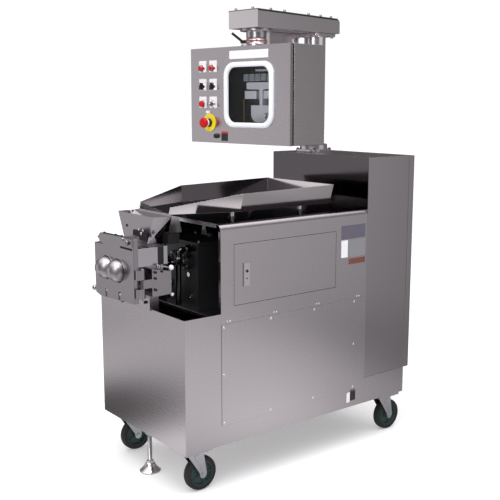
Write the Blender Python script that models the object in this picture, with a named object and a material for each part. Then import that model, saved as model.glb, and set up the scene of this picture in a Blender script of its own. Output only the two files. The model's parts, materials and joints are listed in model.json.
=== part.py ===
"""Twin-dome extrusion granulator on castors, modelled as an assembly.

Frame: +Z up, floor at z = 0, +X towards the tall rear cabinet, -X towards the
die head, -Y is the operator's side.  Metres throughout.  Every sub-part is one
closed solid; moving sub-parts hang from an empty that sits on their joint axis.
"""
import math

import bmesh
import bpy
from mathutils import Matrix, Vector

# ------------------------------------------------------------ driving sizes
GAP = 0.0003                 # clearance between pieces that touch
SHEET = 0.002                # folded stainless sheet
CENTRE_SHIFT = (0.050, -0.061)   # puts the assembly's bounding box on the Z axis

BASE_LENGTH, BASE_WIDTH = 1.080, 0.570
BASE_FLOOR = 0.165           # underside of the base
TUB_RIM = 0.637              # top of the open tub at the die end
SEAM = 0.601                 # joint between base and drive cover
TUB_END = -0.390             # where the tub ends and the drive cover starts
COVER_END = 0.309            # where the drive cover meets the rear cabinet
COVER_TOP = 0.945
CABINET_FLOOR, CABINET_TOP = 0.269, 1.140
REAR_DOOR_DEPTH = 0.028
HALF_L, HALF_W = BASE_LENGTH / 2, BASE_WIDTH / 2

WHEEL_RADIUS, WHEEL_WIDTH = 0.0625, 0.032
CASTOR_TRAIL = 0.035
CASTORS = {
    "front_near": (-0.480, -0.228),
    "front_far": (-0.475, 0.223),
    "rear_near": (0.462, -0.235),
    "rear_far": (0.462, 0.235),
}
CASTOR_PAD = 0.008           # thickness of the plate each castor is bolted to
KINGPIN_RADIUS, AXLE_RADIUS = 0.0060, 0.0050
LEVELLER_AT = (-0.505, 0.009)
LEVELLER_RADIUS = 0.0085

SCREW_Z = 0.782              # height of both extrusion screws
SCREW_PITCH = 0.080          # distance between the two screw axes
DOME_RADIUS = 0.0392
FLIGHT_RADIUS, ROOT_RADIUS = 0.0375, 0.021
FLIGHT_LEAD = 0.045
SCREW_SHAFT, MOTOR_SHAFT = 0.015, 0.012  # radii
BORE_RADIUS = 0.0386
DIE_FACE = -0.645            # front face of the die plate
DIE_PLATE_DEPTH = 0.018
BARREL_FRONT = DIE_FACE + DIE_PLATE_DEPTH + GAP
BARREL_BACK = -0.510
BARREL_NEAR, BARREL_FAR = -0.143, 0.124
BARREL_BOTTOM, BARREL_TOP = 0.690, 0.868
THROAT_FRONT, THROAT_BACK, THROAT_HALF = -0.5455, -0.5215, 0.070
GEARBOX_FRONT, GEARBOX_BACK = -0.360, -0.100

GEAR_TEETH, PINION_TEETH = 20, 12
MODULE = SCREW_PITCH / GEAR_TEETH
PINION_DROP = MODULE * (GEAR_TEETH + PINION_TEETH) / 2
NEAR_Y, FAR_Y = -SCREW_PITCH / 2, SCREW_PITCH / 2

POST_AT = (0.428, 0.158)
POST_RADIUS = 0.0445
ARM_BOTTOM = 1.629
ARM_WIDTH, ARM_FRONT, ARM_BACK = 0.158, 0.424, 0.066
ARM_HEIGHT_FRONT, ARM_HEIGHT_BACK = 0.069, 0.061
ARM_YAW = math.radians(7.0)
NECK_REACH = 0.350           # post axis to neck axis along the arm
NECK_JOINT = ARM_BOTTOM - 0.034  # where the turning collar meets the fixed flange

BOX_BOTTOM, BOX_TOP = 1.187, 1.561
BOX_FRONT, BOX_BACK = -0.090, 0.099      # along the box's own X, from the neck
BOX_NEAR, BOX_FAR = -0.262, 0.287        # along the box's own Y
DOOR_DEPTH, DOOR_GAP = 0.014, 0.008


# ------------------------------------------------------------ scene and finishes
for old in list(bpy.data.objects):
    bpy.data.objects.remove(old, do_unlink=True)

FINISHES = {
    #                 colour                    metallic  roughness
    "satin_steel":    ((0.56, 0.53, 0.55), 1.0, 0.34),
    "polished_steel": ((0.66, 0.64, 0.66), 1.0, 0.12),
    "machined_steel": ((0.60, 0.58, 0.60), 1.0, 0.25),
    "cast_grey":      ((0.22, 0.23, 0.25), 0.2, 0.55),
    "motor_green":    ((0.12, 0.20, 0.22), 0.1, 0.50),
    "black_plastic":  ((0.02, 0.02, 0.02), 0.0, 0.40),
    "white_rubber":   ((0.86, 0.87, 0.90), 0.0, 0.50),
    "white_plastic":  ((0.85, 0.85, 0.85), 0.0, 0.30),
    "red_plastic":    ((0.62, 0.02, 0.02), 0.0, 0.30),
    "yellow_plastic": ((0.90, 0.72, 0.02), 0.0, 0.35),
    "glass":          ((0.75, 0.80, 0.82), 0.0, 0.05),
    "tyre_black":     ((0.02, 0.02, 0.02), 0.0, 0.75),
    "panel_grey":     ((0.10, 0.10, 0.11), 0.0, 0.60),
}


def finish(obj, kind):
    """Give an object its own Principled material."""
    colour, metallic, roughness = FINISHES[kind]
    material = bpy.data.materials.new(obj.name + "_" + kind)
    material.use_nodes = True
    shader = material.node_tree.nodes["Principled BSDF"]
    shader.inputs["Base Color"].default_value = (*colour, 1.0)
    shader.inputs["Metallic"].default_value = metallic
    shader.inputs["Roughness"].default_value = roughness
    obj.data.materials.clear()
    obj.data.materials.append(material)


# ------------------------------------------------------------ modelling helpers
def pivot(name, at, parent=None, yaw=0.0):
    """An empty on a joint axis; its children are modelled around it."""
    empty = bpy.data.objects.new(name, None)
    empty.empty_display_size = 0.05
    bpy.context.collection.objects.link(empty)
    empty.parent = parent
    empty.location = at
    empty.rotation_euler = (0.0, 0.0, yaw)
    return empty


def solid(name, mesh_data, kind, parent, smooth=False):
    """Turn a bmesh into a named, finished object under its parent."""
    bmesh.ops.recalc_face_normals(mesh_data, faces=mesh_data.faces)
    mesh = bpy.data.meshes.new(name)
    mesh_data.to_mesh(mesh)
    mesh_data.free()
    obj = bpy.data.objects.new(name, mesh)
    bpy.context.collection.objects.link(obj)
    obj.parent = parent
    if kind:
        finish(obj, kind)
    if smooth:
        mesh.shade_smooth()
        mesh.set_sharp_from_angle(angle=math.radians(35))
    return obj


def box_mesh(low, high):
    shape = bmesh.new()
    bmesh.ops.create_cube(shape, size=1.0)
    size = [h - l for l, h in zip(low, high)]
    centre = [(h + l) / 2 for l, h in zip(low, high)]
    bmesh.ops.scale(shape, vec=size, verts=shape.verts)
    bmesh.ops.translate(shape, vec=centre, verts=shape.verts)
    return shape


def box(name, low, high, kind, parent):
    return solid(name, box_mesh(low, high), kind, parent)


AXIS_TURNS = {
    "z": Matrix.Identity(3),
    "x": Matrix(((0, 0, 1), (1, 0, 0), (0, 1, 0))),
    "y": Matrix(((1, 0, 0), (0, 0, 1), (0, -1, 0))),
}


def lathe_mesh(profile, axis="z", at=(0, 0, 0), sides=24):
    """Revolve an open (radius, height) profile that starts and ends on the axis."""
    shape = bmesh.new()
    rings = []
    for radius, height in profile:
        if radius == 0:
            rings.append([shape.verts.new((0, 0, height))])
            continue
        angles = [2 * math.pi * i / sides for i in range(sides)]
        rings.append([shape.verts.new((radius * math.cos(a), radius * math.sin(a), height)) for a in angles])
    for lower, upper in zip(rings, rings[1:]):
        for i in range(sides):
            j = (i + 1) % sides
            corners = [lower[i % len(lower)], lower[j % len(lower)],
                       upper[j % len(upper)], upper[i % len(upper)]]
            distinct = list(dict.fromkeys(corners))
            if len(distinct) >= 3:
                shape.faces.new(distinct)
    place(shape, axis, at)
    return shape


def ring_mesh(profile, axis="z", at=(0, 0, 0), sides=24):
    """Revolve a closed (radius, height) outline that stays off the axis."""
    shape = bmesh.new()
    rings = []
    for i in range(sides):
        angle = 2 * math.pi * i / sides
        rings.append([shape.verts.new((r * math.cos(angle), r * math.sin(angle), h)) for r, h in profile])
    count = len(profile)
    for i in range(sides):
        here, after = rings[i], rings[(i + 1) % sides]
        for k in range(count):
            n = (k + 1) % count
            shape.faces.new((here[k], after[k], after[n], here[n]))
    place(shape, axis, at)
    return shape


def place(shape, axis, at):
    turn = AXIS_TURNS[axis].to_4x4()
    bmesh.ops.transform(shape, matrix=Matrix.Translation(at) @ turn, verts=shape.verts)


def rod_mesh(radius, start, end, axis="z", at=(0, 0, 0), sides=20):
    return lathe_mesh([(0, start), (radius, start), (radius, end), (0, end)], axis, at, sides)


def prism_mesh(outline, start, end, plane="xy"):
    """Extrude a 2-D outline; plane names the outline's two axes."""
    order = {
        "xy": lambda a, b, c: (a, b, c),
        "xz": lambda a, b, c: (a, c, b),
        "yz": lambda a, b, c: (c, a, b),
    }[plane]
    shape = bmesh.new()
    near = [shape.verts.new(order(a, b, start)) for a, b in outline]
    far = [shape.verts.new(order(a, b, end)) for a, b in outline]
    shape.faces.new(near)
    shape.faces.new(far)
    for i in range(len(outline)):
        j = (i + 1) % len(outline)
        shape.faces.new((near[i], near[j], far[j], far[i]))
    return shape


def rounded(half_a, half_b, radius, centre=(0.0, 0.0), steps=4):
    """Outline of a rectangle with round corners."""
    points = []
    for corner, (sa, sb) in enumerate(((1, 1), (-1, 1), (-1, -1), (1, -1))):
        for step in range(steps + 1):
            angle = math.pi / 2 * (corner + step / steps)
            points.append((centre[0] + sa * (half_a - radius) + radius * math.cos(angle),
                           centre[1] + sb * (half_b - radius) + radius * math.sin(angle)))
    return points


def combine(obj, shape, operation):
    """Boolean another bmesh into or out of an object and keep the result."""
    tool = solid("tool", shape, None, obj.parent)
    tool.hide_render = True
    tool.display_type = "WIRE"
    modifier = obj.modifiers.new(operation.lower(), "BOOLEAN")
    modifier.operation = operation
    modifier.solver = "EXACT"
    modifier.object = tool
    bpy.context.view_layer.update()
    evaluated = obj.evaluated_get(bpy.context.evaluated_depsgraph_get())
    result = bpy.data.meshes.new_from_object(evaluated)
    obj.modifiers.clear()
    materials = list(obj.data.materials)
    obj.data = result
    obj.data.materials.clear()
    for material in materials:
        obj.data.materials.append(material)
    bpy.data.objects.remove(tool, do_unlink=True)
    return obj


def cut(obj, *shapes):
    for shape in shapes:
        combine(obj, shape, "DIFFERENCE")
    return obj


def join(obj, *shapes):
    for shape in shapes:
        combine(obj, shape, "UNION")
    return obj


def soften(obj, angle=35):
    obj.data.shade_smooth()
    obj.data.set_sharp_from_angle(angle=math.radians(angle))


# ------------------------------------------------------------ base and cabinets
def build_base(machine):
    """Folded tub that everything stands on, with its castor pads welded under it."""
    side = [(-HALF_L, BASE_FLOOR), (HALF_L, BASE_FLOOR), (HALF_L, CABINET_FLOOR - GAP),
            (COVER_END, CABINET_FLOOR - GAP), (COVER_END, SEAM - GAP), (TUB_END, SEAM - GAP),
            (TUB_END, TUB_RIM), (-HALF_L, TUB_RIM)]
    base = solid("base_cabinet", prism_mesh(side, -HALF_W, HALF_W, "xz"), "satin_steel", machine)
    wall, above = 0.003, 0.70        # the hollow runs out through the open top
    step = CABINET_FLOOR + 0.10
    hollow = [(-HALF_L + wall, BASE_FLOOR + wall), (HALF_L - wall, BASE_FLOOR + wall), (HALF_L - wall, step),
              (COVER_END - wall, step), (COVER_END - wall, above), (-HALF_L + wall, above)]
    cut(base, prism_mesh(hollow, -HALF_W + wall, HALF_W - wall, "xz"))
    # service windows behind the removable side panels
    window_x, window_z = (-0.360, 0.225), (0.270, 0.565)
    for edge in (-HALF_W, HALF_W):
        cut(base, box_mesh((window_x[0], edge - 0.01, window_z[0]), (window_x[1], edge + 0.01, window_z[1])))
    pad_x, pad_y = 0.055, 0.051
    for x, y in CASTORS.values():
        join(base, box_mesh((x - pad_x, y - pad_y, BASE_FLOOR - CASTOR_PAD),
                            (x + pad_x, y + pad_y, BASE_FLOOR + 0.001)))
        cut(base, rod_mesh(KINGPIN_RADIUS + 0.0004, 0.10, 0.20, at=(x, y, 0), sides=16))
    # hexagonal boss for the levelling foot's stem
    x, y = LEVELLER_AT
    join(base, rod_mesh(0.019, BASE_FLOOR - 0.012, BASE_FLOOR + 0.03, at=(x, y, 0), sides=6))
    cut(base, rod_mesh(LEVELLER_RADIUS + 0.0005, 0.10, 0.30, at=(x, y, 0)))
    panel = 0.0018
    for suffix, edge, sign in (("near", -HALF_W, -1), ("far", HALF_W, 1)):
        inner, outer = sorted((edge + sign * GAP, edge + sign * panel))
        box("side_panel_" + suffix, (TUB_END + 0.001, inner, 0.236), (0.256, outer, SEAM - 0.002),
            "satin_steel", machine)
    return base


def build_cover(machine):
    """Inverted-U drive cover with rounded shoulders and an access opening."""
    radius = 0.024

    def section(half, top, bottom, corner):
        outline = [(half, bottom), (half, top - corner)]
        outline += [(half - corner + corner * math.cos(a), top - corner + corner * math.sin(a))
                    for a in (math.radians(d) for d in (18, 36, 54, 72, 90))]
        return outline + [(-y, z) for y, z in reversed(outline)]

    outer = section(HALF_W, COVER_TOP, SEAM, radius)
    inner = section(HALF_W - SHEET, COVER_TOP - SHEET, SEAM - 0.01, radius - SHEET)
    cover = solid("drive_cover", prism_mesh(outer, TUB_END, COVER_END, "yz"), "satin_steel", machine)
    cut(cover, prism_mesh(inner, TUB_END - 0.01, COVER_END + 0.01, "yz"))
    # cross strip under the roof ties the two sides together at the cabinet end
    join(cover, box_mesh((COVER_END - 0.004, -HALF_W + 0.0005, 0.880),
                         (COVER_END - 0.001, HALF_W - 0.0005, 0.925)))
    cut(cover, box_mesh((-0.3345, -HALF_W - 0.01, 0.6585), (0.1455, -HALF_W + 0.01, 0.8735)))
    soften(cover)
    return cover


def build_rear_cabinet(machine):
    """Tall electrical cabinet, open at the back for its door."""
    low = (COVER_END + GAP, -HALF_W, CABINET_FLOOR)
    cabinet = box("rear_cabinet", low, (HALF_L - GAP, HALF_W, CABINET_TOP), "satin_steel", machine)
    cut(cabinet, box_mesh((COVER_END + SHEET, -HALF_W + SHEET, CABINET_FLOOR + SHEET),
                          (HALF_L + 0.02, HALF_W - SHEET, CABINET_TOP - SHEET)))
    box("inverter", (COVER_END + SHEET + GAP, -0.12, 0.55), (COVER_END + 0.13, 0.06, 0.90),
        "panel_grey", machine)
    door_axis = pivot("rear_door_axis", (HALF_L + 0.0085, HALF_W - 0.004, 0.0), machine)
    low = (HALF_L + 0.0008 - door_axis.location.x, -BASE_WIDTH + 0.004, CABINET_FLOOR)
    high = (low[0] + REAR_DOOR_DEPTH, 0.004, CABINET_TOP)
    door = box("rear_door", low, high, "satin_steel", door_axis)
    cut(door, box_mesh((low[0] - 0.01, low[1] + SHEET, low[2] + SHEET),
                       (high[0] - SHEET, high[1] - SHEET, high[2] - SHEET)))
    handle_y, handle_z = -0.535, 0.700
    cut(door, rod_mesh(0.0083, high[0] - 0.02, high[0] + 0.02, "x", (0, handle_y, handle_z), 16))
    handle_axis = pivot("rear_handle_axis", (0, handle_y, handle_z), door_axis)
    handle = solid("rear_door_handle",
                   lathe_mesh([(0, high[0] - 0.016), (0.008, high[0] - 0.016), (0.008, high[0] + GAP),
                               (0.016, high[0] + GAP), (0.016, high[0] + 0.010), (0, high[0] + 0.010)],
                              "x", sides=16), "machined_steel", handle_axis)
    join(handle, box_mesh((high[0] + 0.008, -0.009, -0.085), (high[0] + 0.018, 0.009, 0.012)))
    return cabinet


def build_access_door(machine):
    """Flush door in the cover's operator side, hinged on its +X edge, with a turn latch."""
    hinge_x = 0.144
    door_axis = pivot("cover_door_axis", (hinge_x - 0.002, -HALF_W + 0.001, 0), machine)
    low = (-0.333 - door_axis.location.x, -0.001, 0.660)
    high = (hinge_x - door_axis.location.x, 0.001, 0.872)
    door = box("cover_door", low, high, "satin_steel", door_axis)
    latch = (-0.2805 - door_axis.location.x, 0, 0.775)
    join(door, box_mesh((latch[0] - 0.0145, -0.0035, 0.721), (latch[0] + 0.0145, -0.0005, 0.805)))
    cut(door, rod_mesh(0.0063, -0.02, 0.02, "y", latch, 16))
    latch_axis = pivot("cover_latch_axis", latch, door_axis)
    cam = solid("cover_latch", rod_mesh(0.006, -0.0062, 0.0062, "y", sides=16), "machined_steel", latch_axis)
    join(cam, box_mesh((-0.030, 0.0062, -0.006), (0.006, 0.0092, 0.006)))
    return door


# ------------------------------------------------------------ castors and levelling foot
def build_castor(machine, place_name, at):
    """Swivel castor: fork on a kingpin, and a wheel on the fork's axle."""
    swivel = pivot("castor_swivel_" + place_name, (*at, 0.0), machine)
    top = BASE_FLOOR - CASTOR_PAD - GAP
    side = [(-0.040, top), (0.036, top), (0.036, top - 0.012), (CASTOR_TRAIL + 0.012, WHEEL_RADIUS + 0.004),
            (CASTOR_TRAIL + 0.008, WHEEL_RADIUS - 0.012), (CASTOR_TRAIL - 0.008, WHEEL_RADIUS - 0.012),
            (CASTOR_TRAIL - 0.012, WHEEL_RADIUS + 0.004), (-0.038, top - 0.014)]
    half = WHEEL_WIDTH / 2 + 0.006
    fork = solid("castor_fork_" + place_name, prism_mesh(side, -half, half, "xz"), "machined_steel", swivel)
    cut(fork, box_mesh((-0.1, -half + 0.0025, 0.0), (0.1, half - 0.0025, top - 0.013)))
    join(fork, rod_mesh(KINGPIN_RADIUS, top - 0.005, top + 0.016, sides=16))
    axle_at = (CASTOR_TRAIL, 0, WHEEL_RADIUS)
    join(fork, rod_mesh(AXLE_RADIUS, -half - 0.005, half + 0.005, "y", axle_at, 12))
    soften(fork)
    roll = pivot("castor_axle_" + place_name, axle_at, swivel)
    bore = AXLE_RADIUS + GAP
    outer, tread = WHEEL_WIDTH / 2, WHEEL_WIDTH / 2 - 0.006
    profile = [(bore, -outer), (0.020, -outer), (0.045, -0.007), (0.047, -outer),
               (0.057, -outer), (WHEEL_RADIUS, -tread), (WHEEL_RADIUS, tread), (0.057, outer),
               (0.047, outer), (0.045, 0.007), (0.020, outer), (bore, outer)]
    solid("castor_wheel_" + place_name, ring_mesh(profile, "y", sides=20), "tyre_black", roll, smooth=True)


def build_leveller(machine):
    """Levelling foot: threaded stem with a bell pad that rests on the floor."""
    axis = pivot("leveller_axis", (*LEVELLER_AT, 0), machine)
    stem_top = 0.185
    profile = [(0, 0), (0.039, 0), (0.039, 0.006), (0.021, 0.026), (0.015, 0.034), (LEVELLER_RADIUS, 0.042),
               (LEVELLER_RADIUS, stem_top), (0, stem_top)]
    solid("levelling_foot", lathe_mesh(profile, sides=20), "machined_steel", axis, smooth=True)


# ------------------------------------------------------------ drive train
def gear_outline(teeth, phase):
    """Trapezoidal teeth with running backlash."""
    pitch_radius = MODULE * teeth / 2
    tip, root = pitch_radius + 0.80 * MODULE, pitch_radius - 1.05 * MODULE
    step = 2 * math.pi / teeth
    points = []
    for tooth in range(teeth):
        centre = phase + tooth * step
        for radius, share in ((root, -0.36), (tip, -0.12), (tip, 0.12), (root, 0.36)):
            angle = centre + share * step
            points.append((radius * math.cos(angle), radius * math.sin(angle)))
    return points


def gear_mesh(teeth, phase, start, end):
    return prism_mesh(gear_outline(teeth, phase), start, end, "yz")


def screw_mesh(start, end, hand):
    """Screw flight as a lobed section that turns as it is extruded along X."""
    half_lobe = math.radians(20)
    angles = [-half_lobe, half_lobe]
    angles += [half_lobe + (2 * math.pi - 2 * half_lobe) * k / 8 for k in range(1, 8)]
    radii = [FLIGHT_RADIUS, FLIGHT_RADIUS] + [ROOT_RADIUS] * 7
    steps = int(round((end - start) / FLIGHT_LEAD * 12))
    shape = bmesh.new()
    rings = []
    for step in range(steps + 1):
        x = start + (end - start) * step / steps
        twist = hand * 2 * math.pi * (x - start) / FLIGHT_LEAD
        rings.append([shape.verts.new((x, r * math.cos(a + twist), r * math.sin(a + twist)))
                      for a, r in zip(angles, radii)])
    count = len(angles)
    for here, after in zip(rings, rings[1:]):
        for i in range(count):
            j = (i + 1) % count
            shape.faces.new((here[i], here[j], after[j], after[i]))
    shape.faces.new(rings[0])
    shape.faces.new(rings[-1])
    bmesh.ops.triangulate(shape, faces=shape.faces)
    return shape


def build_screws(machine):
    """Two counter-turning screws, each with its timing gear inside the gearbox."""
    gear_x, shaft_end = -0.235, GEARBOX_BACK - 0.013
    for suffix, y, hand, phase in (("near", NEAR_Y, 1, 0.0), ("far", FAR_Y, -1, math.pi / GEAR_TEETH)):
        axis = pivot("screw_axis_" + suffix, (0, y, SCREW_Z), machine)
        flight_start, flight_end = BARREL_FRONT + 0.002, BARREL_BACK - 0.012
        screw = solid("screw_" + suffix, screw_mesh(flight_start, flight_end, hand), "machined_steel", axis)
        join(screw, rod_mesh(SCREW_SHAFT, flight_end - 0.003, shaft_end, "x", sides=20))
        gear = solid("timing_gear_" + suffix, gear_mesh(GEAR_TEETH, phase, gear_x - 0.017, gear_x + 0.017),
                     "machined_steel", axis)
        cut(gear, rod_mesh(SCREW_SHAFT + GAP, gear_x - 0.03, gear_x + 0.03, "x", sides=20))
    # pinion under the near gear: a tooth gap faces up, because the near gear has a tooth facing down
    shaft = pivot("drive_shaft_axis", (0, NEAR_Y, SCREW_Z - PINION_DROP), machine)
    pinion = solid("drive_pinion", gear_mesh(PINION_TEETH, math.pi / 2 + math.pi / PINION_TEETH,
                                             gear_x - 0.019, gear_x + 0.019), "machined_steel", shaft)
    join(pinion, rod_mesh(MOTOR_SHAFT, GEARBOX_FRONT + 0.012, GEARBOX_BACK + 0.040, "x", sides=16))


def build_gearbox(machine):
    """Gear case, its lid, the flange motor and the bed plate they are bolted to."""
    floor = 0.6125
    box("drive_bed", (TUB_END + 0.006, -0.240, floor - 0.012), (COVER_END - 0.008, 0.240, floor - GAP),
        "machined_steel", machine)
    wall, top = 0.012, 0.846
    case = box("gearbox_case", (GEARBOX_FRONT, -0.105, floor), (GEARBOX_BACK, 0.105, top), "cast_grey", machine)
    cut(case, box_mesh((GEARBOX_FRONT + wall, -0.105 + wall, 0.645),
                       (GEARBOX_BACK - wall, 0.105 - wall, top + 0.01)))
    for y in (NEAR_Y, FAR_Y):
        join(case, rod_mesh(0.030, GEARBOX_FRONT - 0.016, GEARBOX_FRONT + 0.006, "x", (0, y, SCREW_Z), 24))
        cut(case, rod_mesh(SCREW_SHAFT + GAP, GEARBOX_FRONT - 0.05, GEARBOX_FRONT + 0.05, "x",
                           (0, y, SCREW_Z), 20))
    pinion_z = SCREW_Z - PINION_DROP
    shaft_at = (0, NEAR_Y, pinion_z)
    cut(case, rod_mesh(MOTOR_SHAFT + GAP, GEARBOX_BACK - 0.05, GEARBOX_BACK + 0.05, "x", shaft_at, 16))
    box("gearbox_lid", (GEARBOX_FRONT, -0.105, top + GAP), (GEARBOX_BACK, 0.105, top + 0.010),
        "cast_grey", machine)
    motor = solid("drive_motor", rod_mesh(0.078, GEARBOX_BACK + GAP, 0.245, "x", shaft_at, 24),
                  "motor_green", machine)
    cut(motor, rod_mesh(MOTOR_SHAFT + GAP, GEARBOX_BACK - 0.01, GEARBOX_BACK + 0.045, "x", shaft_at, 16))
    join(motor, box_mesh((-0.03, NEAR_Y - 0.06, floor), (0.20, NEAR_Y + 0.06, pinion_z - 0.06)))
    join(motor, box_mesh((0.02, NEAR_Y - 0.045, pinion_z + 0.06), (0.13, NEAR_Y + 0.045, pinion_z + 0.115)))
    soften(motor)


# ------------------------------------------------------------ die head
def build_barrel(machine):
    """Twin-bore barrel block with a feed throat, on a bracket over the tub's front wall."""
    low = (BARREL_FRONT, BARREL_NEAR, BARREL_BOTTOM)
    barrel = box("barrel_housing", low, (BARREL_BACK, BARREL_FAR, BARREL_TOP), "machined_steel", machine)
    for y in (NEAR_Y, FAR_Y):
        cut(barrel, rod_mesh(BORE_RADIUS, BARREL_FRONT - 0.01, BARREL_BACK - 0.010, "x", (0, y, SCREW_Z), 24))
        cut(barrel, rod_mesh(SCREW_SHAFT + 2 * GAP, BARREL_BACK - 0.02, BARREL_BACK + 0.01, "x",
                             (0, y, SCREW_Z), 20))
    cut(barrel, box_mesh((THROAT_FRONT, -THROAT_HALF, SCREW_Z), (THROAT_BACK, THROAT_HALF, BARREL_TOP + 0.01)))
    # relieved side behind the flange, and the lower recess that holds the hinge
    cut(barrel, box_mesh((-0.549, BARREL_NEAR - 0.01, 0.806), (-0.526, BARREL_NEAR + 0.035, BARREL_TOP + 0.01)))
    cut(barrel, box_mesh((BARREL_FRONT - 0.01, BARREL_NEAR - 0.01, BARREL_BOTTOM - 0.01),
                         (BARREL_BACK + 0.01, BARREL_NEAR + 0.030, 0.806)))
    bracket = box("head_bracket", (-0.556, -0.095, TUB_RIM + GAP), (-0.518, 0.095, BARREL_BOTTOM - GAP),
                  "machined_steel", machine)
    join(bracket, box_mesh((-0.536, -0.095, 0.560), (-0.518, 0.095, TUB_RIM + 0.005)))
    return barrel


DIE_HINGE = (-0.6175, -0.155)


def knuckle_mesh(reach, low, high):
    """Web from a hinge knuckle to the piece that carries it, at or past x = reach."""
    x, y = DIE_HINGE
    ends = sorted((reach, x))
    return box_mesh((ends[0], y - 0.0085, low), (ends[1], BARREL_NEAR + 0.006, high))


def knuckle_barrel(low, high):
    return rod_mesh(0.0090, low, high, at=(*DIE_HINGE, 0), sides=16)


def knuckle_bore():
    return rod_mesh(0.0042, 0.6, 0.9, at=(*DIE_HINGE, 0), sides=16)


def build_die_plate(machine):
    """Front plate that carries both dome dies and swings open on a side hinge."""
    axis = pivot("die_hinge_axis", (*DIE_HINGE, 0.0), machine)
    back = DIE_FACE + DIE_PLATE_DEPTH
    outline = [(-0.146, 0.683), (0.090, 0.672), (0.124, 0.680), (0.124, 0.861), (0.063, 0.861),
               (0.103, 0.882), (0.082, 0.899), (-0.094, 0.903), (-0.146, 0.903)]
    plate = solid("die_plate", prism_mesh(outline, DIE_FACE, back, "yz"), "satin_steel", machine)
    # openings for the domes, the clamp slot and the two swing-bolt slots
    for y in (NEAR_Y, FAR_Y):
        cut(plate, rod_mesh(DOME_RADIUS + 0.0022, DIE_FACE - 0.01, back + 0.01, "x", (0, y, SCREW_Z), 32))
    cut(plate, box_mesh((DIE_FACE - 0.01, -0.138, 0.8635), (back + 0.01, -0.058, 0.8695)))
    for y, low, high in ((0.045, 0.665, 0.705), (-0.047, 0.665, 0.708)):
        cut(plate, box_mesh((DIE_FACE - 0.01, y - 0.008, low), (back + 0.01, y + 0.008, high)))
    # moving knuckles of the hinge
    for low, high in ((0.702, 0.7345), (0.7655, 0.798)):
        join(plate, knuckle_mesh(DIE_FACE + 0.004, low, high), knuckle_barrel(low, high))
    cut(plate, knuckle_bore())
    shift_to(plate, axis)
    plate.parent = axis
    for suffix, y in (("near", NEAR_Y), ("far", FAR_Y)):
        dome = solid("dome_die_" + suffix, dome_mesh(y), "polished_steel", machine, smooth=True)
        shift_to(dome, axis)
        dome.parent = axis


def shift_to(obj, axis):
    """Keep an object modelled in machine coordinates in place under a pivot."""
    obj.data.transform(Matrix.Translation(-Vector(axis.location)))


def dome_mesh(y):
    """Hemispherical die screen, open at the back, closed at the pole."""
    hollow = DOME_RADIUS - 0.002
    start = DIE_FACE - 0.002
    outer, inner = [], []
    steps = 5
    for step in range(steps + 1):
        angle = math.pi / 2 * step / steps
        outer.append((DOME_RADIUS * math.cos(angle), -DOME_RADIUS * math.sin(angle)))
        inner.append((hollow * math.cos(angle), -hollow * math.sin(angle)))
    outer[-1], inner[-1] = (0, -DOME_RADIUS), (0, -hollow)
    rim = DIE_PLATE_DEPTH + 0.002 - 0.0004
    profile = list(reversed(inner)) + [(hollow, rim), (DOME_RADIUS, rim)] + outer
    profile = [(r, start + x) for r, x in profile]
    return lathe_mesh(profile, "x", (0, y, SCREW_Z), 28)


def build_die_hardware(machine):
    """Hinge block on the barrel, the clamp lever with its ball knobs and the swing bolts."""
    side = [(-0.586, 0.703), (BARREL_BACK, 0.705), (BARREL_BACK, 0.784), (-0.586, 0.798)]
    block = solid("hinge_block", prism_mesh(side, -0.164, BARREL_NEAR + 0.030 - GAP, "xz"),
                  "machined_steel", machine)
    join(block, knuckle_mesh(-0.584, 0.7352, 0.7648), knuckle_barrel(0.7352, 0.7648))
    cut(block, knuckle_bore())
    stem, head = 0.0039, 0.0065
    profile = [(0, 0.694), (stem, 0.694), (stem, 0.7985), (head, 0.7985), (head, 0.8025), (0, 0.8025)]
    solid("hinge_pin", lathe_mesh(profile, at=(*DIE_HINGE, 0), sides=12), "machined_steel", machine)


def build_clamp_lever(machine):
    """Eccentric clamp on the hinge block: a boss, a sloping rod and a ball knob."""
    at = (-0.556, -0.155, 0.0)
    axis = pivot("clamp_lever_axis", at, machine)
    top = 0.7985
    lever = solid("clamp_lever", rod_mesh(0.0085, top, top + 0.012, sides=14), "machined_steel", axis)
    reach, drop = 0.052, 0.013
    tilt = Matrix.Rotation(math.pi / 2 + math.atan2(drop, reach), 4, "Y")
    start = Matrix.Translation((0, 0, top + 0.008))
    rod = rod_mesh(0.0030, 0.004, reach, sides=10)
    knob = lathe_mesh([(0, reach - 0.009), (0.0065, reach - 0.0065), (0.009, reach), (0.0065, reach + 0.0065),
                       (0, reach + 0.009)], sides=14)
    for shape in (rod, knob):
        bmesh.ops.transform(shape, matrix=start @ tilt, verts=shape.verts)
        join(lever, shape)
    soften(lever)


# ------------------------------------------------------------ feed hopper, tray and coolant pipe
def tapered_wall(corners_low, corners_high, thickness):
    """Closed loop of sheet walls between two four-cornered outlines, open at top and bottom."""
    shape = bmesh.new()

    def offset(corners):
        centre = Vector((sum(c[0] for c in corners) / len(corners), sum(c[1] for c in corners) / len(corners)))
        inner = []
        for x, y, z in corners:
            step = (centre - Vector((x, y))).normalized() * thickness * 1.5
            inner.append((x + step.x, y + step.y, z))
        return inner

    loops = [corners_low, corners_high, offset(corners_high), offset(corners_low)]
    rings = [[shape.verts.new(c) for c in loop] for loop in loops]
    count = len(corners_low)
    for here, after in zip(rings, rings[1:] + rings[:1]):
        for i in range(count):
            j = (i + 1) % count
            shape.faces.new((here[i], here[j], after[j], after[i]))
    return shape


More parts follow.
